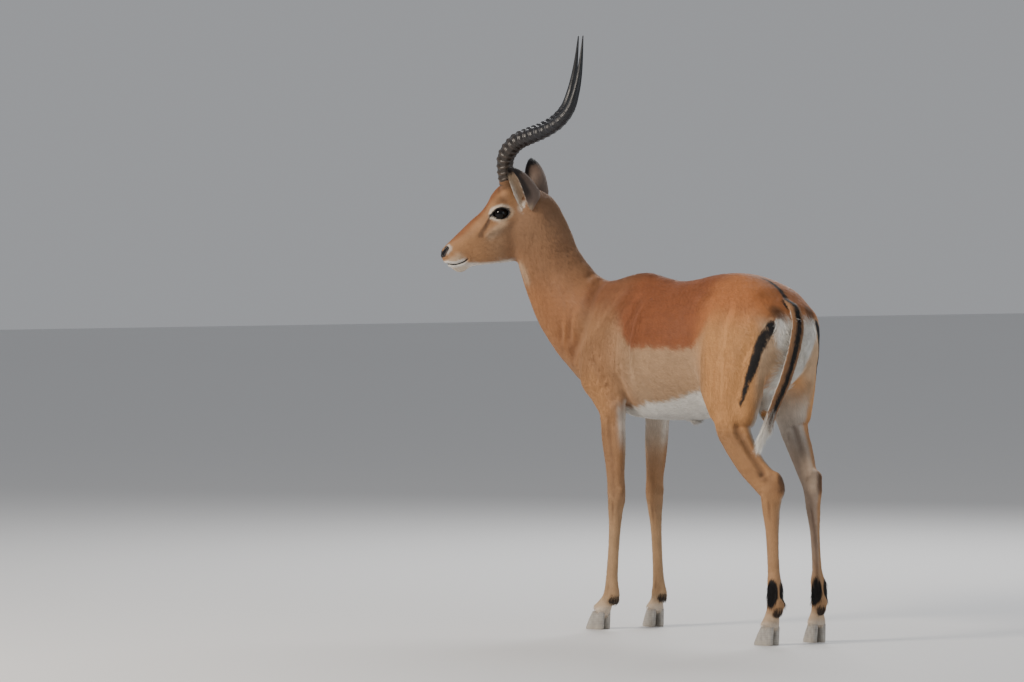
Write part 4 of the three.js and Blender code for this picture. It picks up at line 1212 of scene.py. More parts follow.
    def ears(self, facts: np.ndarray, points: np.ndarray) -> np.ndarray:
        """Colours of the ears: brown-grey behind, pale inside, black at the tip and along the rear edge."""
        share, turn, inside = facts.T
        colour = np.tile(COLOURS.ear, (len(share), 1)).astype(float)
        colour = self.paint(colour, COLOURS.umber, 0.4 * ramp(share, 0.35, 0.8))
        inner = self.paint(np.tile(COLOURS.cream, (len(share), 1)).astype(float), COLOURS.pink, ramp(np.abs(turn), 0.72, 0.4))
        inner = self.paint(inner, COLOURS.umber, 0.6 * ramp(np.abs(turn), 0.5, 0.1) * ramp(share, 0.75, 0.35))
        colour = np.where(inside[:, None] > 0.5, inner, colour)
        edge = ramp(np.abs(turn), 0.62, 0.85) * (inside < 0.5)
        colour = self.paint(colour, COLOURS.black, 0.85 * edge * ramp(share, 0.3, 0.5))
        colour = self.paint(colour, COLOURS.white, 0.85 * ramp(np.abs(turn), 0.8, 0.95) * ramp(share, 0.8, 0.5) * (inside > 0.5))
        colour = self.paint(colour, COLOURS.cream, 0.7 * ramp(np.abs(turn), 0.75, 0.95) * ramp(share, 0.34, 0.2) * ramp(share, 0.06, 0.16))
        colour = self.paint(colour, COLOURS.neck, 0.9 * ramp(share, 0.24, 0.06) * (inside < 0.5))
        return self.paint(colour, COLOURS.black, ramp(share + 0.02 * wobble(points, 9.0), 0.76, 0.86))

    def bare(self, spots: Spots) -> np.ndarray:
        """1 where the hide is bare: the nose, the edges of the lids and the line of the mouth."""
        r, l, w = spots.head.T
        side = np.abs(l)
        nose = ramp(r, 175.0, 178.0) * ramp(w, -33.0, -30.0)
        nostril = ramp(FACE.nostril_distance(r, w), 6.0, 4.8) * (side > 6)
        lids = ramp(FACE.opening(r, w), 2.6, 1.8) * (side > 30)
        lips = ramp(FACE.mouth_distance(r, w), 1.6, 1.0)
        return spots.on[Region.HEAD] * np.clip(nose + nostril + lids + lips, 0.0, 1.0)

    def lie(self, spots: Spots) -> np.ndarray:
        """The direction in which the coat lies, flat on the skin and of length one."""
        n = len(spots.points)
        lie = np.tile([0.0, 1.0, 0.0], (n, 1))
        steep = ramp(spots.side, 20.0, 90.0) * (0.25 + 0.9 * ramp(spots.forward, 60.0, 300.0) + 0.7 * ramp(spots.forward, -120.0, -290.0))
        lie[:, 2] = -steep - 2.2 * ramp(spots.up, 620.0, 520.0) * (spots.region >= Region.FORELEG_LEFT)
        for reader in READERS:
            chosen = spots.on[reader.region]
            if not chosen.any():
                continue
            *_, along = reader.read(spots.points[chosen])
            if reader.region is Region.NECK:
                lie[chosen] = -along + np.array([0.0, 0.35, -0.1])
            elif reader.region is Region.HEAD:
                back = -HEAD_FRAME.axis() @ HEAD_FRAME.matrix().T
                lie[chosen] = back + 0.25 * spots.normals[chosen] * ramp(spots.head[chosen, 0], 60.0, 10.0)[:, None]
            elif reader.region is Region.TAIL:
                lie[chosen] = along
            elif reader.region is not Region.TRUNK:
                down = ramp(spots.up[chosen], 700.0, 520.0)[:, None]
                lie[chosen] = lie[chosen] * (1 - down) + along * down
        for place in EAR_PLACES:
            root, tip, _ = (HEAD_FRAME.matrix() @ at(*v) for v in EAR_PLACES[place])
            lie[spots.on[place]] = tip - root
        near, at_step = chain_distance(spots.folded, self.stripes[0])
        step = np.clip(at_step.astype(int), 0, len(self.stripes[0]) - 2)
        down = unit(np.diff(self.stripes[0], axis=0))[step] * np.column_stack([np.sign(spots.left), np.ones(n), np.ones(n)])
        share = (0.85 * ramp(near, 34.0, 16.0) * ~spots.on[Region.TAIL])[:, None]
        lie = unit(lie) * (1 - share) + down * share
        lie += 0.10 * np.column_stack([wobble(spots.points, 70.0, 20 + k) for k in range(3)])
        lie -= (lie * spots.normals).sum(1, keepdims=True) * spots.normals
        return unit(lie)

    def lengths(self, spots: Spots) -> np.ndarray:
        """The length, width, stand and density of the tufts at each spot, in millimetres and per square metre."""
        up, f = spots.up, spots.forward
        legs = (spots.region >= Region.FORELEG_LEFT) & (spots.region <= Region.HINDLEG_RIGHT)
        low = legs * ramp(up, 560.0, 430.0)
        length, width = 15.0 - 6.0 * low, 1.3 - 0.25 * low
        stand, density = 1.2 - 0.5 * low, 165e3 + 10e3 * low
        stripe, _ = chain_distance(spots.folded, self.stripes[0])
        length = length * (1.0 - 0.5 * ramp(stripe, 30.0, 20.0) * ~spots.on[Region.TAIL])
        rear = ramp(stripe, 22.0, 34.0) * ramp(f, -255.0, -300.0) * ramp(up, 820.0, 780.0) * ramp(up, 560.0, 600.0) * ~spots.on[Region.TAIL]
        length, stand = length + 7.0 * rear, stand + 0.9 * rear
        neck = spots.on[Region.NECK]
        grown = ramp(-spots.head[:, 0] - 1.05 * spots.head[:, 2], 62.0, 340.0)
        length, width = np.where(neck, 7.5 + 6.0 * grown, length), np.where(neck, 1.05 + 0.2 * grown, width)
        stand, density = np.where(neck, 0.55 + 0.4 * grown, stand), np.where(neck, 240e3 - 70e3 * grown, density)
        tail = spots.on[Region.TAIL]
        length, width, stand = np.where(tail, 17.0, length), np.where(tail, 1.4, width), np.where(tail, 1.8, stand)
        density = np.where(tail, 110e3, density)
        r, l, w = spots.head.T
        head = spots.on[Region.HEAD]
        fine = ramp(r, 30.0, 130.0)
        length, width = np.where(head, 7.5 - 3.2 * fine, length), np.where(head, 1.05 - 0.25 * fine, width)
        stand, density = np.where(head, 0.65 - 0.25 * fine, stand), np.where(head, 240e3 + 60e3 * fine, density)
        density = density * (self.bare(spots) < 0.3)
        ears = spots.on[Region.EAR_LEFT] | spots.on[Region.EAR_RIGHT]
        length, width = np.where(ears, 6.0, length), np.where(ears, 0.95, width)
        stand = np.where(ears, 0.7, stand)
        density = np.where(ears, np.where(spots.ear[:, 2] > 0.5, 60e3, 190e3), density)
        return np.column_stack([length, width, stand, density])


@dataclass
class LoftReader:
    """Reads where points lie along and round a loft. Its place on the coat's map is a rectangle."""

    region: Region
    loft: Loft
    rectangle: tuple[float, float, float, float]
    in_head: bool = False

    def __post_init__(self) -> None:
        """Works out the loft's path and directions."""
        rows, _ = self.loft.path(np.linspace(0.0, 1.0, 33))
        side, up, along = self.loft.axes(rows)
        centre = rows[:, :3]
        if self.in_head:
            turn = HEAD_FRAME.matrix().T
            centre, side, up, along = HEAD_FRAME.place(centre), side @ turn, up @ turn, along @ turn
        self.centre, self.side, self.up, self.along = centre, side, up, along

    def read(self, points: np.ndarray) -> tuple[np.ndarray, np.ndarray, np.ndarray, np.ndarray]:
        """The share along the loft, the reach to its side and above it, and its direction, at each point."""
        _, place = chain_distance(points, self.centre)
        i = np.clip(place.astype(int), 0, len(self.centre) - 2)
        t = (place - i)[:, None]
        centre, side, up, along = (v[i] * (1 - t) + v[i + 1] * t for v in (self.centre, self.side, self.up, self.along))
        out = points - centre
        return place / (len(self.centre) - 1), (out * side).sum(1), (out * up).sum(1), unit(along)


def readers() -> tuple[LoftReader, ...]:
    """A reader for each loft of the body, each with its own rectangle of the coat's map."""
    places = {
        Region.TRUNK: (0.01, 0.01, 0.57, 0.41), Region.NECK: (0.60, 0.01, 0.38, 0.29), Region.HEAD: (0.60, 0.32, 0.38, 0.28),
        Region.HINDLEG_LEFT: (0.01, 0.44, 0.57, 0.18), Region.HINDLEG_RIGHT: (0.01, 0.64, 0.57, 0.18),
        Region.FORELEG_LEFT: (0.01, 0.84, 0.57, 0.15), Region.FORELEG_RIGHT: (0.60, 0.62, 0.38, 0.15),
        Region.TAIL: (0.60, 0.79, 0.38, 0.07),
    }
    return tuple(LoftReader(limb.region, limb.loft, places[limb.region], limb.in_head) for limb in LIMBS)


READERS = readers()
TAIL_LOFT_READER = next(reader for reader in READERS if reader.region is Region.TAIL)
EAR_RECTANGLES = {Region.EAR_LEFT: (0.60, 0.88, 0.18, 0.11), Region.EAR_RIGHT: (0.80, 0.88, 0.18, 0.11)}


def coat_map(spots: Spots) -> np.ndarray:
    """Where each spot lies on an unwrap of the skin: one rectangle for each part, along it and round it."""
    uv = np.zeros((len(spots.points), 2))
    for reader in READERS:
        chosen = spots.on[reader.region]
        if chosen.any():
            share, across, above, _ = reader.read(spots.points[chosen])
            angle = np.arctan2(above, across)
            x, y, wide, tall = reader.rectangle
            uv[chosen] = np.column_stack([x + wide * share, y + tall * (angle / (2 * math.pi) + 0.5)])
    for place, (x, y, wide, tall) in EAR_RECTANGLES.items():
        chosen = spots.on[place]
        share, turn, inside = spots.ear[chosen].T
        uv[chosen] = np.column_stack([x + wide * share, y + tall * (0.25 * (turn + 1) + 0.5 * (inside > 0.5))])
    return uv


# ---------------------------------------------------------------- tufts
@dataclass
class Fur:
    """Tufts grown over the skin as thin four-sided darts."""

    skin: Skin
    coat: Coat
    rng: np.random.Generator = field(default_factory=lambda: np.random.default_rng(SEED))
    share: float = 1.0
    patch: float = 0.003
    most: int = 48000  # darts in one piece

    def sow(self) -> tuple[Spots, np.ndarray]:
        """Scatters roots over the skin by density.

        Returns:
            The spots, and their tufts' length, width and stand.
        """
        skin = self.skin
        corners = Spots(skin.points, skin.normals, skin.region, skin.ear)
        specs = self.coat.lengths(corners)
        corner = skin.points[skin.faces]
        area = 0.5 * np.linalg.norm(np.cross(corner[:, 1] - corner[:, 0], corner[:, 2] - corner[:, 0]), axis=1) * 1e-6
        wanted = np.cumsum(area * specs[skin.faces, 3].mean(1)) * self.share
        total = int(wanted[-1])
        marks = np.arange(total) + self.rng.random(total)
        face = np.searchsorted(wanted, np.minimum(marks, wanted[-1] - 1e-6))
        u, v = self.rng.random(total), self.rng.random(total)
        over = u + v > 1
        u[over], v[over] = 1 - u[over], 1 - v[over]
        weights = np.column_stack([1 - u - v, u, v])[:, :, None]
        index = skin.faces[face]
        points = (skin.points[index] * weights).sum(1)
        normals = unit((skin.normals[index] * weights).sum(1))
        region = skin.region[index[:, 0]]
        ear = (skin.ear[index] * weights).sum(1)
        spots = Spots(points, normals, region, ear)
        return spots, (specs[index] * weights).sum(1)[:, :3]

    def darts(self) -> list[bpy.types.Object]:
        """Grows the flat coat in pieces, sorted by the part of the body."""
        spots, specs = self.sow()
        n = len(spots.points)
        colour = self.coat.colours(spots)
        lie = self.coat.lie(spots)
        stray = self.rng.normal(size=(n, 1)) * 0.16
        across = unit(np.cross(spots.normals, lie))
        lie = unit(lie + stray * across)
        across = unit(np.cross(spots.normals, lie))
        length = specs[:, :1] * self.rng.uniform(0.7, 1.25, (n, 1))
        width = specs[:, 1:2] * self.rng.uniform(0.8, 1.25, (n, 1))
        stand = specs[:, 2:3] * self.rng.uniform(0.35, 1.2, (n, 1))
        root = spots.points - 0.45 * spots.normals
        points = np.stack([
            root + across * width / 2,
            root - across * width / 2,
            root + lie * length * 0.35 + spots.normals * (0.4 * stand + 0.65),
            root + lie * length + spots.normals * (stand + 0.45),
        ], axis=1)
        tone = colour * (1.0 + self.rng.normal(size=(n, 1)) * 0.07)
        tints = np.clip(np.stack([tone * 0.86, tone * 0.86, tone * 0.99, tone * 1.06], axis=1), 0.004, 1.0)
        facing = np.stack([unit(spots.normals + k * across + m * lie) for k, m in ((0.55, 0), (-0.55, 0), (0, -0.1), (0, 0.25))], axis=1)
        uv = coat_map(spots)
        corners = np.array([(-0.5, -0.5), (0.5, -0.5), (0.0, 0.0), (0.0, 0.5)]) * self.patch
        made = []
        order = np.argsort(spots.region, kind="stable")
        groups = {
            "coat_trunk": (Region.TRUNK,), "coat_neck": (Region.NECK,), "coat_head": (Region.HEAD, Region.EAR_LEFT, Region.EAR_RIGHT),
            "coat_tail": (Region.TAIL,), "coat_forelegs": (Region.FORELEG_LEFT, Region.FORELEG_RIGHT),
            "coat_hindlegs": (Region.HINDLEG_LEFT, Region.HINDLEG_RIGHT),
        }
        shape = np.array([(0, 1, 2), (1, 3, 2), (2, 3, 0), (0, 3, 1)])
        for name, parts in groups.items():
            chosen = order[np.isin(spots.region[order], [int(p) for p in parts])]
            for k, start in enumerate(range(0, len(chosen), self.most)):
                pick = chosen[start:start + self.most]
                faces = (np.arange(len(pick))[:, None, None] * 4 + shape).reshape(-1, 3)
                piece = new_mesh(f"{name}_{k}", points[pick].reshape(-1, 3), faces)
                piece.data.normals_split_custom_set_from_vertices(facing[pick].reshape(-1, 3).astype(np.float32))
                set_attribute(piece, "tint", with_alpha(tints[pick].reshape(-1, 3)))
                layer = piece.data.uv_layers.new(name="OFBake")
                place = (uv[pick][:, None, :] + corners)[:, shape.ravel(), :]
                layer.uv.foreach_set("vector", place.astype(np.float32).ravel())
                made.append(piece)
        return made


# ---------------------------------------------------------------- materials
class Tree:
    """A material's nodes, made by short calls."""

    def __init__(self, name: str) -> None:
        """Starts a material with a Principled shader.

        Args:
            name: the material's name.
        """
        self.material = bpy.data.materials.new(name)
        self.material.use_nodes = True
        self.nodes = self.material.node_tree.nodes
        self.links = self.material.node_tree.links
        self.shader = self.nodes["Principled BSDF"]

    def node(self, kind: str, **values: object) -> bpy.types.Node:
        """A new node with properties set, such as operation."""
        made = self.nodes.new(kind)
        for key, value in values.items():
            setattr(made, key, value)
        return made

    def link(self, source: bpy.types.NodeSocket, target: bpy.types.NodeSocket) -> None:
        """Joins two sockets."""
        self.links.new(source, target)

    def fix(self, **values: object) -> None:
        """Sets the shader's own sockets, named with underscores for spaces."""
        for key, value in values.items():
            self.shader.inputs[key.replace("_", " ")].default_value = value

    def group(self, tree: bpy.types.NodeTree, **values: float) -> bpy.types.Node:
        """Places a node group with its own values."""
        made = self.nodes.new("ShaderNodeGroup")
        made.node_tree = tree
        for key, value in values.items():
            made.inputs[key.replace("_", " ")].default_value = value
        return made


def socket(tree: bpy.types.NodeTree, name: str, way: str, kind: str, value: float | None = None) -> None:
    """Adds a socket to a node group's interface.

    Args:
        tree: the group.
        name: the socket's name.
        way: INPUT or OUTPUT.
        kind: its type, such as Float.
        value: an input's first value.
    """
    made = tree.interface.new_socket(name=name, in_out=way, socket_type=f"NodeSocket{kind}")
    if value is not None:
        made.default_value = value


def grain_group() -> bpy.types.NodeTree:
    """A node group for fine streaks that follow a vector, such as hairs along the coat or lines down a horn.

    Returns:
        A group that takes a vector with streaks along its first axis, and puts out a height and a mask.
    """
    tree = bpy.data.node_groups.new("streaks", "ShaderNodeTree")
    socket(tree, "Vector", "INPUT", "Vector")
    socket(tree, "Streaks Per Metre", "INPUT", "Float", 700.0)
    socket(tree, "Stretch", "INPUT", "Float", 0.09)
    socket(tree, "Height", "OUTPUT", "Float")
    socket(tree, "Patches", "OUTPUT", "Float")
    start, end = tree.nodes.new("NodeGroupInput"), tree.nodes.new("NodeGroupOutput")
    stretch = tree.nodes.new("ShaderNodeCombineXYZ")
    stretch.inputs["Y"].default_value = stretch.inputs["Z"].default_value = 1.0
    tree.links.new(start.outputs["Stretch"], stretch.inputs["X"])
    scaled = tree.nodes.new("ShaderNodeVectorMath")
    scaled.operation = "MULTIPLY"
    tree.links.new(start.outputs["Vector"], scaled.inputs[0])
    tree.links.new(stretch.outputs["Vector"], scaled.inputs[1])
    fine = tree.nodes.new("ShaderNodeTexNoise")
    fine.inputs["Detail"].default_value = 3.0
    tree.links.new(scaled.outputs["Vector"], fine.inputs["Vector"])
    tree.links.new(start.outputs["Streaks Per Metre"], fine.inputs["Scale"])
    coarse = tree.nodes.new("ShaderNodeTexNoise")
    coarse.inputs["Scale"].default_value = 60.0
    coarse.inputs["Detail"].default_value = 4.0
    tree.links.new(scaled.outputs["Vector"], coarse.inputs["Vector"])
    tree.links.new(fine.outputs["Fac"], end.inputs["Height"])
    tree.links.new(coarse.outputs["Fac"], end.inputs["Patches"])
    return tree


@dataclass(frozen=True)
class Shading:
    """A finish: how much the colour varies, how rough it is, and how deep its grain stands."""

    name: str
    rough_low: float
    rough_high: float
    bump: float = 0.0
    vary: float = 0.12
    streaks: float = 700.0
    stretch: float = 0.09
    vector: str = ""  # an attribute that the grain follows, or the object's own coordinates
    tint: str = "tint"
    specular: float = 0.5
    sheen: float = 0.0
    polish: float = 0.0  # clear gloss over it

    def material(self, group: bpy.types.NodeTree) -> bpy.types.Material:
        """Builds the material.

        Args:
            group: the streaks group.

        Returns:
            The material.
        """
        tree = Tree(self.name)
        grain = tree.group(group, Streaks_Per_Metre=self.streaks, Stretch=self.stretch)
        if self.vector:
            follow = tree.node("ShaderNodeAttribute", attribute_name=self.vector)
            tree.link(follow.outputs["Vector"], grain.inputs["Vector"])
        else:
            coordinate = tree.node("ShaderNodeTexCoord")
            tree.link(coordinate.outputs["Object"], grain.inputs["Vector"])
        tint = tree.node("ShaderNodeAttribute", attribute_name=self.tint)
        shade = tree.node("ShaderNodeMapRange")
        shade.inputs["To Min"].default_value = 1.0 - self.vary
        shade.inputs["To Max"].default_value = 1.0 + self.vary
        mixed = tree.node("ShaderNodeMath", operation="ADD")
        tree.link(grain.outputs["Height"], mixed.inputs[0])
        tree.link(grain.outputs["Patches"], mixed.inputs[1])
        shade.inputs["From Min"].default_value = 0.6
        shade.inputs["From Max"].default_value = 1.4
        tree.link(mixed.outputs[0], shade.inputs["Value"])
        colour = tree.node("ShaderNodeVectorMath", operation="SCALE")
        tree.link(tint.outputs["Color"], colour.inputs[0])
        tree.link(shade.outputs["Result"], colour.inputs["Scale"])
        tree.link(colour.outputs["Vector"], tree.shader.inputs["Base Color"])
        rough = tree.node("ShaderNodeMapRange")
        rough.inputs["From Min"].default_value = 0.3
        rough.inputs["From Max"].default_value = 0.7
        rough.inputs["To Min"].default_value = self.rough_low
        rough.inputs["To Max"].default_value = self.rough_high
        tree.link(grain.outputs["Patches"], rough.inputs["Value"])
        rough_out = rough.outputs["Result"]
        if self.vector == "strand":
            bare = tree.node("ShaderNodeAttribute", attribute_name="bare")
            wet = tree.node("ShaderNodeMix", data_type="FLOAT")
            tree.link(bare.outputs["Fac"], wet.inputs["Factor"])
            tree.link(rough_out, wet.inputs["A"])
            wet.inputs["B"].default_value = 0.32
            rough_out = wet.outputs["Result"]
        tree.link(rough_out, tree.shader.inputs["Roughness"])
        if self.bump:
            bump = tree.node("ShaderNodeBump")
            bump.inputs["Distance"].default_value = self.bump
            bump.inputs["Strength"].default_value = 0.8
            tree.link(grain.outputs["Height"], bump.inputs["Height"])
            tree.link(bump.outputs["Normal"], tree.shader.inputs["Normal"])
        tree.fix(Specular_IOR_Level=self.specular, Sheen_Weight=self.sheen, Coat_Weight=self.polish)
        tree.shader.inputs["Sheen Roughness"].default_value = 0.45
        tree.shader.inputs["Coat Roughness"].default_value = 0.04
        return tree.material


SHADINGS = {
    "skin": Shading("short_coat", 0.62, 0.8, 0.0006, 0.14, 650.0, 0.08, "strand", specular=0.3, sheen=0.12),
    "fur": Shading("coat_tufts", 0.52, 0.7, 0.0, 0.05, 400.0, 1.0, specular=0.35, sheen=0.1),
    "horn": Shading("ringed_horn", 0.3, 0.5, 0.0005, 0.25, 500.0, 0.12, "strand", specular=0.5),
    "hoof": Shading("dusty_hoof", 0.5, 0.72, 0.0004, 0.2, 450.0, 0.15, "strand", specular=0.4),
    "eye": Shading("wet_eye", 0.25, 0.3, 0.0, 0.1, 300.0, 1.0, specular=0.0, polish=0.45),
}


# ---------------------------------------------------------------- long hair
@dataclass(frozen=True)
class Lock:
    """Long hair over one place: where it grows, how long and thick its locks are, and which way they hang."""

    name: str
    count: int
    length: float
    width: float
    droop: float  # how far the locks fall from the lie of the coat, as a share of their length
    stand: float  # how far they lean out from the skin, in the same way


LOCKS = (
    Lock("tail_fringe", 1700, 26.0, 1.4, 0.10, 0.10),
    Lock("tail_tip", 1500, 42.0, 1.6, 0.20, 0.12),
    Lock("hind_gland_tufts", 2600, 23.0, 1.3, 0.10, 0.30),
    Lock("fetlock_tufts", 1400, 13.0, 1.1, 0.30, 0.24),
    Lock("coronet_fringe", 2400, 13.0, 1.1, 0.10, 0.05),
    Lock("lashes", 150, 9.0, 0.5, 0.15, 1.3),
    Lock("ear_fringe", 1500, 13.0, 0.8, 0.00, 0.30),
    Lock("rump_fringe", 2600, 27.0, 1.7, 0.25, 0.10),
    Lock("sheath_tuft", 260, 22.0, 1.4, 0.40, 0.10),
)


def lock_share(lock: Lock, s: Spots) -> np.ndarray:
    """How thickly a lock's hair grows at each spot, from 0 to 1.

    Args:
        lock: the hair.
        s: the spots.

    Returns:
        A share for each spot.
    """
    hind = s.on[Region.HINDLEG_LEFT] | s.on[Region.HINDLEG_RIGHT]
    fore = s.on[Region.FORELEG_LEFT] | s.on[Region.FORELEG_RIGHT]
    share, turn, inside = s.ear.T
    if lock.name == "tail_fringe":
        place, across, _, _ = TAIL_LOFT_READER.read(s.points)
        return s.on[Region.TAIL] * ramp(np.abs(across), 17.5, 20.0) * ramp(place, 0.2, 0.35)
    if lock.name == "tail_tip":
        return s.on[Region.TAIL] * ramp(TAIL_LOFT_READER.read(s.points)[0], 0.76, 0.84)
    if lock.name == "hind_gland_tufts":
        gland = np.minimum(*(np.linalg.norm((s.folded - at(*c)) / np.array([13, 13, 28]), axis=1) for c in ((-336, 86, 135), (-338, 55, 133))))
        return hind * ramp(gland, 1.0, 0.8)
    if lock.name == "fetlock_tufts":
        pastern = np.where(fore, np.where(s.left > 0, -268.0, -264.0), 352.0)
        heel = np.hypot((s.points[:, 1] - pastern) / np.where(fore, 9.0, 13.0), (s.up - 80.0) / np.where(fore, 7.0, 12.0))
        return (fore | hind) * ramp(heel, 1.1, 0.8) * ramp(s.normals[:, 1], 0.0, 0.5)
    if lock.name == "coronet_fringe":
        return (fore | hind) * ramp(s.up, 60.0, 50.0)
    if lock.name == "lashes":
        r, _, w = s.head.T
        ring = FACE.opening(r, w)
        return s.on[Region.HEAD] * (s.side * 0 + (np.abs(s.head[:, 1]) > 34)) * ((ring > 0.6) & (ring < 2.4)) * ramp(w - 0.36 * r, 4.0, 8.0)
    if lock.name == "ear_fringe":
        return ((share > 0.03) & (share < 0.85)) * (ramp(np.abs(turn), 0.72, 0.95) * (inside > 0.5) + 0.25 * (inside > 0.5) * (share < 0.5))
    if lock.name == "rump_fringe":
        return s.on[Region.TRUNK] * ramp(s.forward, -296.0, -322.0) * ramp(s.side, 62.0, 20.0) * ramp(s.up, 660.0, 700.0) * ramp(s.up, 815.0, 790.0)
    return s.on[Region.TRUNK] * ramp(np.linalg.norm(s.points - at(66, 0, 536), axis=1), 16.0, 9.0)


class LongHair:
    """Bent locks of long hair, each with three sides and a bend."""

    def __init__(self, skin: Skin, coat: Coat) -> None:
        """Keeps what the hair grows from.

        Args:
            skin: the skin.
            coat: its markings and lie.
        """
        self.skin, self.coat = skin, coat
        self.rng = np.random.default_rng(SEED + 1)
        self.corners = Spots(skin.points, skin.normals, skin.region, skin.ear)

    def grow(self, lock: Lock) -> bpy.types.Object:
        """One piece of long hair.

        Args:
            lock: the hair.

        Returns:
            The piece, with its tint and its map.
        """
        skin, rng, n = self.skin, self.rng, lock.count
        corner = skin.points[skin.faces]
        area = np.linalg.norm(np.cross(corner[:, 1] - corner[:, 0], corner[:, 2] - corner[:, 0]), axis=1)
        weight = np.cumsum(area * lock_share(lock, self.corners)[skin.faces].mean(1))
        face = np.searchsorted(weight, (np.arange(n) + rng.random(n)) / n * weight[-1] * 0.999999)
        u, v = rng.random(n), rng.random(n)
        over = u + v > 1
        u[over], v[over] = 1 - u[over], 1 - v[over]
        weights = np.column_stack([1 - u - v, u, v])[:, :, None]
        index = skin.faces[face]
        spots = Spots((skin.points[index] * weights).sum(1), unit((skin.normals[index] * weights).sum(1)), skin.region[index[:, 0]],
                      (skin.ear[index] * weights).sum(1))
        lie = self.coat.lie(spots)
        across = unit(np.cross(spots.normals, lie))
        lie = unit(lie + 0.12 * rng.normal(size=(n, 1)) * across + lock.stand * rng.uniform(0.3, 1.3, (n, 1)) * spots.normals)
        across = unit(np.cross(spots.normals, lie))
        above = np.cross(lie, across)
        length = lock.length * rng.uniform(0.6, 1.15, (n, 1))
        width = lock.width * rng.uniform(0.7, 1.2, (n, 1))
        root = spots.points - 0.8 * spots.normals
        down = np.array([0.0, 0.0, -1.0]) * lock.droop * length
        middle = root + lie * length * 0.5 + down * 0.25
        tip = root + lie * length * 0.97 + down + 0.05 * length * rng.normal(size=(n, 1)) * across
        ring = [across * 0.5, -across * 0.5, above * 0.6]
        points = np.stack([root + width * r for r in ring] + [middle + width * 0.8 * r for r in ring] + [tip], axis=1)
        shape = np.array([(0, 2, 1), (0, 1, 4), (0, 4, 3), (1, 2, 5), (1, 5, 4), (2, 0, 3), (2, 3, 5), (3, 4, 6), (4, 5, 6), (5, 3, 6)])
        a, b, c, d = (points[0, k] for k in (0, 1, 2, 6))
        if np.dot(np.cross(b - a, c - a), d - a) < 0:
            shape = shape[:, ::-1]
        faces = (np.arange(n)[:, None, None] * 7 + shape).reshape(-1, 3)
        piece = new_mesh(lock.name, points.reshape(-1, 3), faces, smooth=False)
        tone = self.coat.colours(spots) * (1.0 + 0.1 * rng.normal(size=(n, 1)))
        tints = np.clip(np.stack([tone * k for k in (0.72, 0.72, 0.72, 0.95, 0.95, 0.95, 1.06)], axis=1), 0.004, 1.0)
        set_attribute(piece, "tint", with_alpha(tints.reshape(-1, 3)))
        corners = np.array([(-0.5, -0.5), (0.5, -0.5), (0.0, -0.45), (-0.4, 0.0), (0.4, 0.0), (0.0, 0.05), (0.0, 0.5)]) * 0.003
        layer = piece.data.uv_layers.new(name="OFBake")
        place = (coat_map(spots)[:, None, :] + corners)[:, shape.ravel(), :]
        layer.uv.foreach_set("vector", place.astype(np.float32).ravel())
        return piece


# ---------------------------------------------------------------- eyes, horns and hooves
@dataclass(frozen=True)
class Eyes:
    """The two eyes: dark balls with a raised cornea and a wide pupil."""

    radius: float = 19.2
    cornea: float = 1.3
    rings: int = 72
    around: int = 72

    def build(self, hand: int) -> bpy.types.Object:
        """One eye.

        Args:
            hand: 1 for the left eye and -1 for the right.

        Returns:
            The eye, with its tint.
        """
        gaze = unit(0.22 * HEAD_FRAME.axis() + 0.08 * HEAD_FRAME.rise() + np.array([1.0, 0.0, 0.0]))
        level = unit(np.cross(gaze, np.cross(HEAD_FRAME.axis(), gaze)))
        upright = np.cross(level, gaze)
        polar = np.linspace(0.03, math.pi - 0.03, self.rings)[:, None]
        turn = (np.arange(self.around) * 2 * math.pi / self.around)[None, :]
        size = self.radius + self.cornea * np.exp(-((polar / 0.8) ** 2)) + 0 * turn
        wide, tall = size * np.sin(polar) * np.cos(turn), size * np.sin(polar) * np.sin(turn)
        deep = size * np.cos(polar) + 0 * turn
        balls = wide[..., None] * level + tall[..., None] * upright + deep[..., None] * gaze
        centre = np.array([FACE.eye_side, 0.0, 0.0])
        points, faces = closed_tube(balls + centre)
        flat_x = np.append((wide / self.radius).ravel(), [0.0, 0.0])
        flat_y = np.append((tall / self.radius).ravel(), [0.0, 0.0])
        front = np.append((deep > 0).ravel(), [True, False])
        if hand < 0:
            points, faces = points * np.array([-1.0, 1.0, 1.0]), faces[:, ::-1]
        made = new_mesh(f"eyeball_{'left' if hand > 0 else 'right'}", HEAD_FRAME.place(points), faces)
        edge = np.hypot(flat_x, flat_y)
        spokes = 0.5 + 0.5 * np.sin(np.arctan2(flat_y, flat_x) * 37)
        iris = np.array([0.005, 0.0028, 0.002]) * (0.7 + 0.6 * spokes[:, None])
        pupil = ramp(np.maximum(np.abs(flat_x) - 0.32, 0) ** 2 + (flat_y / 0.72) ** 2, 0.13, 0.06)[:, None]
        colour = iris * (1 - pupil) + np.array([0.002, 0.0018, 0.0025]) * pupil
        rim = ramp(edge, 0.62, 0.74)[:, None]
        colour = colour * (1 - rim) + np.array([0.006, 0.004, 0.003]) * rim
        colour = np.where(front[:, None], colour, np.array([0.05, 0.03, 0.025]))
        set_attribute(made, "tint", with_alpha(colour))
        return made


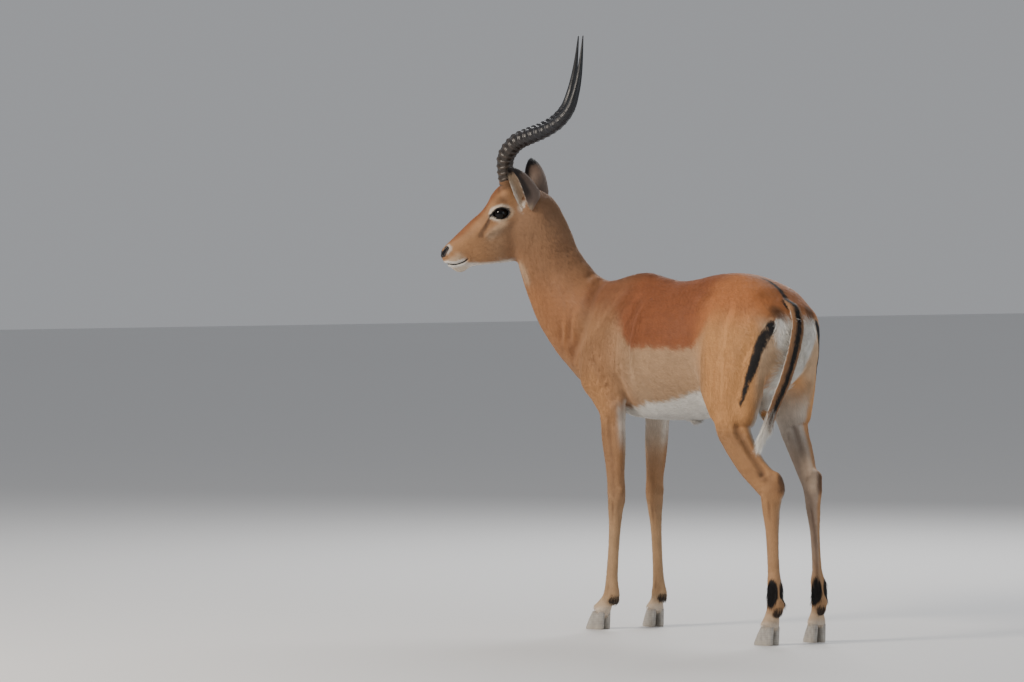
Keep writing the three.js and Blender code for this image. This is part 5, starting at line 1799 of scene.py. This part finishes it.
@dataclass(frozen=True)
class Horns:
    """The ringed horns. A node tree raises their rings from an attribute."""

    rings: int = 19
    ridged: float = 0.66
    depth: float = 2.7
    flatness: float = 0.94
    steps: int = 320
    around: int = 48

    def tree(self, material: bpy.types.Material) -> bpy.types.NodeTree:
        """The node tree that raises the rings and sets the material.

        Args:
            material: the horns' material.

        Returns:
            The tree, with an input for the rings' height in metres.
        """
        tree = bpy.data.node_groups.new("horn_rings", "GeometryNodeTree")
        socket(tree, "Geometry", "INPUT", "Geometry")
        socket(tree, "Ring Height", "INPUT", "Float", 0.0019)
        socket(tree, "Flute Depth", "INPUT", "Float", 0.0004)
        socket(tree, "Geometry", "OUTPUT", "Geometry")
        start, end = tree.nodes.new("NodeGroupInput"), tree.nodes.new("NodeGroupOutput")
        sums = []
        for attribute, size in (("rib", "Ring Height"), ("flute", "Flute Depth")):
            read = tree.nodes.new("GeometryNodeInputNamedAttribute")
            read.data_type = "FLOAT"
            read.inputs["Name"].default_value = attribute
            times = tree.nodes.new("ShaderNodeMath")
            times.operation = "MULTIPLY"
            tree.links.new(read.outputs["Attribute"], times.inputs[0])
            tree.links.new(start.outputs[size], times.inputs[1])
            sums.append(times)
        total = tree.nodes.new("ShaderNodeMath")
        tree.links.new(sums[0].outputs[0], total.inputs[0])
        tree.links.new(sums[1].outputs[0], total.inputs[1])
        out = tree.nodes.new("GeometryNodeInputNamedAttribute")
        out.data_type = "FLOAT_VECTOR"
        out.inputs["Name"].default_value = "outward"
        push = tree.nodes.new("ShaderNodeVectorMath")
        push.operation = "SCALE"
        tree.links.new(out.outputs["Attribute"], push.inputs[0])
        tree.links.new(total.outputs[0], push.inputs["Scale"])
        moved = tree.nodes.new("GeometryNodeSetPosition")
        tree.links.new(start.outputs["Geometry"], moved.inputs["Geometry"])
        tree.links.new(push.outputs["Vector"], moved.inputs["Offset"])
        real = tree.nodes.new("GeometryNodeRealizeInstances")
        tree.links.new(moved.outputs["Geometry"], real.inputs["Geometry"])
        painted = tree.nodes.new("GeometryNodeSetMaterial")
        painted.inputs["Material"].default_value = material
        tree.links.new(real.outputs["Geometry"], painted.inputs["Geometry"])
        tree.links.new(painted.outputs["Geometry"], end.inputs["Geometry"])
        return tree

    def build(self, hand: int, tree: bpy.types.NodeTree) -> bpy.types.Object:
        """One horn.

        Args:
            hand: 1 for the left horn and -1 for the right.
            tree: the node tree that raises its rings.

        Returns:
            The horn as a plain mesh.
        """
        table = np.array(HORN_ROWS, float)
        rows = np.column_stack([table[:, 1] * hand, -table[:, 0], table[:, 2:]])
        places = np.concatenate([[0.0], np.cumsum(np.linalg.norm(np.diff(rows[:, :3], axis=0), axis=1))])
        share = np.linspace(0.0, 1.0, self.steps)
        path = along_rows(rows, places, share * places[-1])
        along = unit(np.gradient(path[:, :3], axis=0))
        side = unit(np.cross(along, np.array([0.0, -1.0, 0.0])) + 1e-6)
        for k in range(1, len(side)):
            side[k] = unit(side[k - 1] - (side[k - 1] @ along[k]) * along[k])
        front = np.cross(side, along)
        turn = np.arange(self.around) * 2 * math.pi / self.around
        c, s = np.cos(turn)[None, :, None], np.sin(turn)[None, :, None]
        outward = c * side[:, None, :] * self.flatness + s * front[:, None, :]
        size = np.maximum(path[:, 3], 0.8)[:, None, None]
        ring = closed_tube(path[:, None, :3] + outward * size)
        made = new_mesh(f"horn_{'left' if hand > 0 else 'right'}_ringed", HEAD_FRAME.place(ring[0]), ring[1])
        slope = 0.035 * np.sin(turn + 0.6)[None, :]
        start = (share[:, None] - 0.075 + slope * 0.35) / (self.ridged - 0.075)
        warp = np.clip(start, 0.0, 1.0) ** 0.93
        phase = warp * self.rings
        wave = (0.5 - 0.5 * np.cos(2 * math.pi * phase)) ** 2.6
        gaps = (start > 0) & (start < 1)
        fade = np.clip((1 - start) / 0.3, 0.0, 1.0) ** 0.6
        strength = 0.66 + 0.34 * np.maximum(np.sin(turn), 0.0)[None, :]
        rib = (wave * gaps - 0.28 * gaps) * fade * strength
        rib = rib + 0.10 * np.sin(phase * 19.0 + 3 * np.sin(turn * 2)[None, :]) * gaps
        flute = np.sin(turn * 11 + 0.4)[None, :] * np.clip(1.2 - share[:, None], 0, 1) + np.sin(turn * 23)[None, :] * 0.5
        ends = np.zeros(2)
        set_attribute(made, "rib", np.append(rib.ravel(), ends))
        set_attribute(made, "flute", np.append(flute.ravel(), ends))
        turned = outward.reshape(-1, 3) @ HEAD_FRAME.matrix().T
        set_attribute(made, "outward", np.concatenate([turned, np.zeros((2, 3))]))
        base, middle, tip = np.array([0.036, 0.024, 0.015]), np.array([0.012, 0.0125, 0.016]), np.array([0.006, 0.0072, 0.010])
        t = np.repeat(share, self.around)[:, None]
        colour = base * (1 - ramp(t, 0.05, 0.5)) + middle * ramp(t, 0.05, 0.5)
        colour = colour * (1 - ramp(t, 0.55, 0.75)) + tip * ramp(t, 0.55, 0.75)
        # painted highlight on the crests of the rings and painted shade in the grooves between them; the wobble is the
        # horn's own patchy tone
        ring_light_and_shade = np.clip(rib.ravel(), -0.3, 1.0)[:, None]
        colour = colour * (1 + 1.1 * ring_light_and_shade) * (1.0 + 0.15 * wobble(ring[0][:-2], 22.0, 31))[:, None]
        set_attribute(made, "tint", with_alpha(np.concatenate([np.clip(colour, 0.002, 1), np.tile(tip, (2, 1))])))
        length = share[:, None] * places[-1] * METRE + 0 * turn
        strand = np.stack([length, 0.02 * np.cos(turn) + 0 * length, 0.02 * np.sin(turn) + 0 * length], axis=-1).reshape(-1, 3)
        set_attribute(made, "strand", np.concatenate([strand, strand[[0, -1]]]))
        modifier = made.modifiers.new("rings", "NODES")
        modifier.node_group = tree
        items = {item.name: item.identifier for item in tree.interface.items_tree if item.in_out == "INPUT"}
        modifier[items["Ring Height"]] = self.depth * METRE
        modifier[items["Flute Depth"]] = 0.00022
        plain = bpy.data.meshes.new_from_object(made.evaluated_get(bpy.context.evaluated_depsgraph_get()))
        made.modifiers.clear()
        made.data = plain
        for polygon in plain.polygons:
            polygon.use_smooth = True
        return made


@dataclass(frozen=True)
class Hooves:
    """The eight claws, with the lines of their growth."""

    cleft: float = 2.0
    taper: float = 0.34
    turn: float = 10.0
    levels: tuple = ((0, 12, 55, 20, 0), (5, 11.5, 56, 20.6, -0.2), (26, 6, 48, 19.6, -0.4), (45.65, -0.5, 38, 18.4, -0.6))
    around: int = 40
    steps: int = 34

    def build(self, name: str, coronet: tuple, hand: int, side: int) -> bpy.types.Object:
        """One claw.

        Args:
            name: the CAD node that it stands for.
            coronet: the middle of the hoof's top, ahead and to the left.
            hand: 1 for a left foot and -1 for a right.
            side: 1 for the claw on the animal's left.

        Returns:
            The claw, with its tint and its strands.
        """
        turn = math.radians(self.turn) * hand
        forward, outward = at(math.cos(turn), math.sin(turn), 0), at(-math.sin(turn), math.cos(turn), 0)
        middle = at(coronet[0], coronet[1] * hand, 0)
        table = np.array(self.levels, float)
        ups = np.concatenate([[0.0, 0.6], np.linspace(1.6, 45.4, self.steps)])
        ahead, length, width, lean = (np.interp(ups, table[:, 0], table[:, k])[:, None] for k in (1, 2, 3, 4))
        angle = np.arange(self.around) * 2 * math.pi / self.around
        blunt = lambda v, power: np.sign(v) * np.abs(v) ** power
        along, across = blunt(np.cos(angle), 0.85)[None], blunt(np.sin(angle), 0.75)[None]
        narrow = 1 - self.taper * np.maximum(along, 0) ** 2
        growth = 0.22 * np.sin(ups * 2 * math.pi / 4.3 + 0.8 * np.cos(angle)[:, None]).T * ramp(ups, 1.0, 8.0)[:, None]
        growth = growth - 0.9 * (ups < 0.3)[:, None]
        half, wide = length / 2 - 0.3 + growth, width / 2 - 0.3 + growth * 0.6
        rings = (
            middle
            + (ahead + along * half)[..., None] * forward
            + (side * (self.cleft + lean + width / 2 + wide * across * narrow))[..., None] * outward
            + (ups[:, None] + 0 * along)[..., None] * np.array([0.0, 0.0, 1.0])
        )
        points, faces = closed_tube(rings)
        made = new_mesh(f"{name}_horny", points, faces)
        tone = np.array([0.36, 0.335, 0.30])
        colour = np.tile(tone, (len(points), 1)) * (1.0 + 0.14 * wobble(points, 11.0, 40) + 0.12 * np.sin(points[:, 2] * 1.46))[:, None]
        dust = ramp(points[:, 2] + 4 * wobble(points, 14.0, 41), 16.0, 2.0)[:, None]
        colour = colour * (1 - 0.5 * dust) + np.array([0.46, 0.41, 0.34]) * 0.5 * dust
        top = ramp(points[:, 2], 36.0, 45.0)[:, None]
        colour = colour * (1 - 0.5 * top) + np.array([0.30, 0.26, 0.22]) * 0.5 * top
        set_attribute(made, "tint", with_alpha(np.clip(colour, 0.01, 1)))
        own = points - middle
        set_attribute(made, "strand", np.column_stack([own[:, 2] * 0.3, own @ forward, own @ outward]) * METRE)
        return made


# ---------------------------------------------------------------- the skin's own piece
def skin_piece(skin: Skin, coat: Coat) -> bpy.types.Object:
    """The skin as a piece, with its colour, its bare places and the direction of its hair.

    Args:
        skin: the skin's arrays.
        coat: its markings.

    Returns:
        The piece.
    """
    made = new_mesh("hide", skin.points, skin.faces)
    spots = Spots(skin.points, skin.normals, skin.region, skin.ear)
    colour, bare = coat.colours(spots), coat.bare(spots)
    set_attribute(made, "tint", with_alpha(colour * (0.9 + 0.1 * bare[:, None])))
    set_attribute(made, "bare", bare)
    head = spots.head * METRE
    strand = np.column_stack([skin.points[:, 1], skin.points[:, 0], skin.points[:, 2]]) * METRE
    legs = (skin.region >= Region.FORELEG_LEFT) & (skin.region <= Region.HINDLEG_RIGHT) & (skin.points[:, 2] < 600)
    upright = legs | (skin.region == Region.TAIL) | (skin.region == Region.NECK)
    strand[upright] = (skin.points[upright] * METRE)[:, [2, 0, 1]]
    strand[skin.region == Region.HEAD] = head[skin.region == Region.HEAD]
    strand[bare > 0.5] = head[bare > 0.5] * np.array([8.0, 1.0, 1.0])
    set_attribute(made, "strand", strand)
    return made


# ---------------------------------------------------------------- studio
@dataclass(frozen=True)
class Studio:
    """A pale floor, soft lights and the camera."""

    place: tuple = (8.3104, 10.1183, 1.050)
    heading: tuple = (-0.616, -0.788)
    dip: float = 1.4
    lens: float = 184.18

    def aim(self, made: bpy.types.Object, place: np.ndarray, target: np.ndarray) -> None:
        """Turns a light or camera at a place to look at a target."""
        made.location = Vector(place)
        made.rotation_euler = (Vector(target) - Vector(place)).to_track_quat("-Z", "Y").to_euler()

    def lamp(self, name: str, place: np.ndarray, size: float, watts: float, colour: tuple) -> None:
        """Adds a square area light that looks at the model."""
        data = bpy.data.lights.new(name, "AREA")
        data.size, data.energy, data.color = size, watts, colour
        made = bpy.data.objects.new(name, data)
        bpy.context.collection.objects.link(made)
        self.aim(made, place, np.array([0.0, 0.0, 0.75]))

    def build(self) -> None:
        """Adds everything round the model."""
        cos, sin = math.cos(math.radians(self.dip)), math.sin(math.radians(self.dip))
        camera = bpy.data.objects.new("camera", bpy.data.cameras.new("camera"))
        camera.data.lens, camera.data.sensor_width = self.lens, 36.0
        bpy.context.collection.objects.link(camera)
        ahead = np.array([self.heading[0] * cos, self.heading[1] * cos, -sin])
        self.aim(camera, np.array(self.place), np.array(self.place) + ahead)
        bpy.context.scene.camera = camera
        back, right = -np.array([*self.heading, 0.0]), np.array([self.heading[1], -self.heading[0], 0.0])
        up = np.array([0.0, 0.0, 1.0])
        self.lamp("key", back * 2.6 - right * 4.0 + up * 3.2, 1.3, 250.0, (1.0, 0.90, 0.78))
        self.lamp("fill", back * 3.6 + right * 3.6 + up * 2.2, 3.0, 50.0, (0.9, 0.95, 1.0))
        self.lamp("rim", -back * 3.4 + right * 1.0 + up * 3.4, 2.4, 150.0, (1.0, 1.0, 1.0))
        world = bpy.data.worlds.new("studio")
        world.use_nodes = True
        world.node_tree.nodes["Background"].inputs["Color"].default_value = (0.86, 0.88, 0.92, 1.0)
        world.node_tree.nodes["Background"].inputs["Strength"].default_value = 0.40
        bpy.context.scene.world = world
        floor = new_mesh("floor", np.array([(-30e3, -30e3, 0), (30e3, -30e3, 0), (30e3, 30e3, 0), (-30e3, 30e3, 0)], float), np.array([(0, 1, 2, 3)]))
        tree = Tree("pale_floor")
        speckle = tree.node("ShaderNodeTexNoise")
        speckle.inputs["Scale"].default_value = 3.0
        tint = tree.node("ShaderNodeMapRange")
        tint.inputs["To Min"].default_value, tint.inputs["To Max"].default_value = 0.70, 0.74
        tree.link(speckle.outputs["Fac"], tint.inputs["Value"])
        tree.link(tint.outputs["Result"], tree.shader.inputs["Base Color"])
        tree.fix(Roughness=0.85)
        floor.data.materials.append(tree.material)


def main() -> None:
    """Builds the animal's pieces in order and reports each one."""
    logging.basicConfig(level=logging.INFO, format="%(message)s")
    group = grain_group()
    finishes = {name: shading.material(group) for name, shading in SHADINGS.items()}
    skin = Skin()
    skin.build()
    coat = Coat(skin)
    flesh = ("trunk", "neck", "head", "tail", "foreleg_left", "foreleg_right", "hindleg_left", "hindleg_right", "ear_left", "ear_right")
    finish_piece(skin_piece(skin, coat), finishes["skin"], flesh)
    for piece in Fur(skin, coat).darts():
        finish_piece(piece, finishes["fur"])
    hair = LongHair(skin, coat)
    for lock in LOCKS:
        finish_piece(hair.grow(lock), finishes["fur"])
    rings = Horns().tree(finishes["horn"])
    for hand, name in ((1, "left"), (-1, "right")):
        finish_piece(Eyes().build(hand), finishes["eye"], (f"eye_{name}",))
        finish_piece(Horns().build(hand, rings), finishes["horn"], (f"horn_{name}",))
        for leg, joints in (("fore", FORE_JOINTS[hand]), ("hind", HIND_JOINTS)):
            for claw, side in (("outer", hand), ("inner", -hand)):
                node = f"hoof_{leg}_{name}_{claw}"
                finish_piece(Hooves().build(node, joints["coronet"], hand, side), finishes["hoof"], (node,))
    Studio().build()
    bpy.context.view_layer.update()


if __name__ == "__main__":
    main()
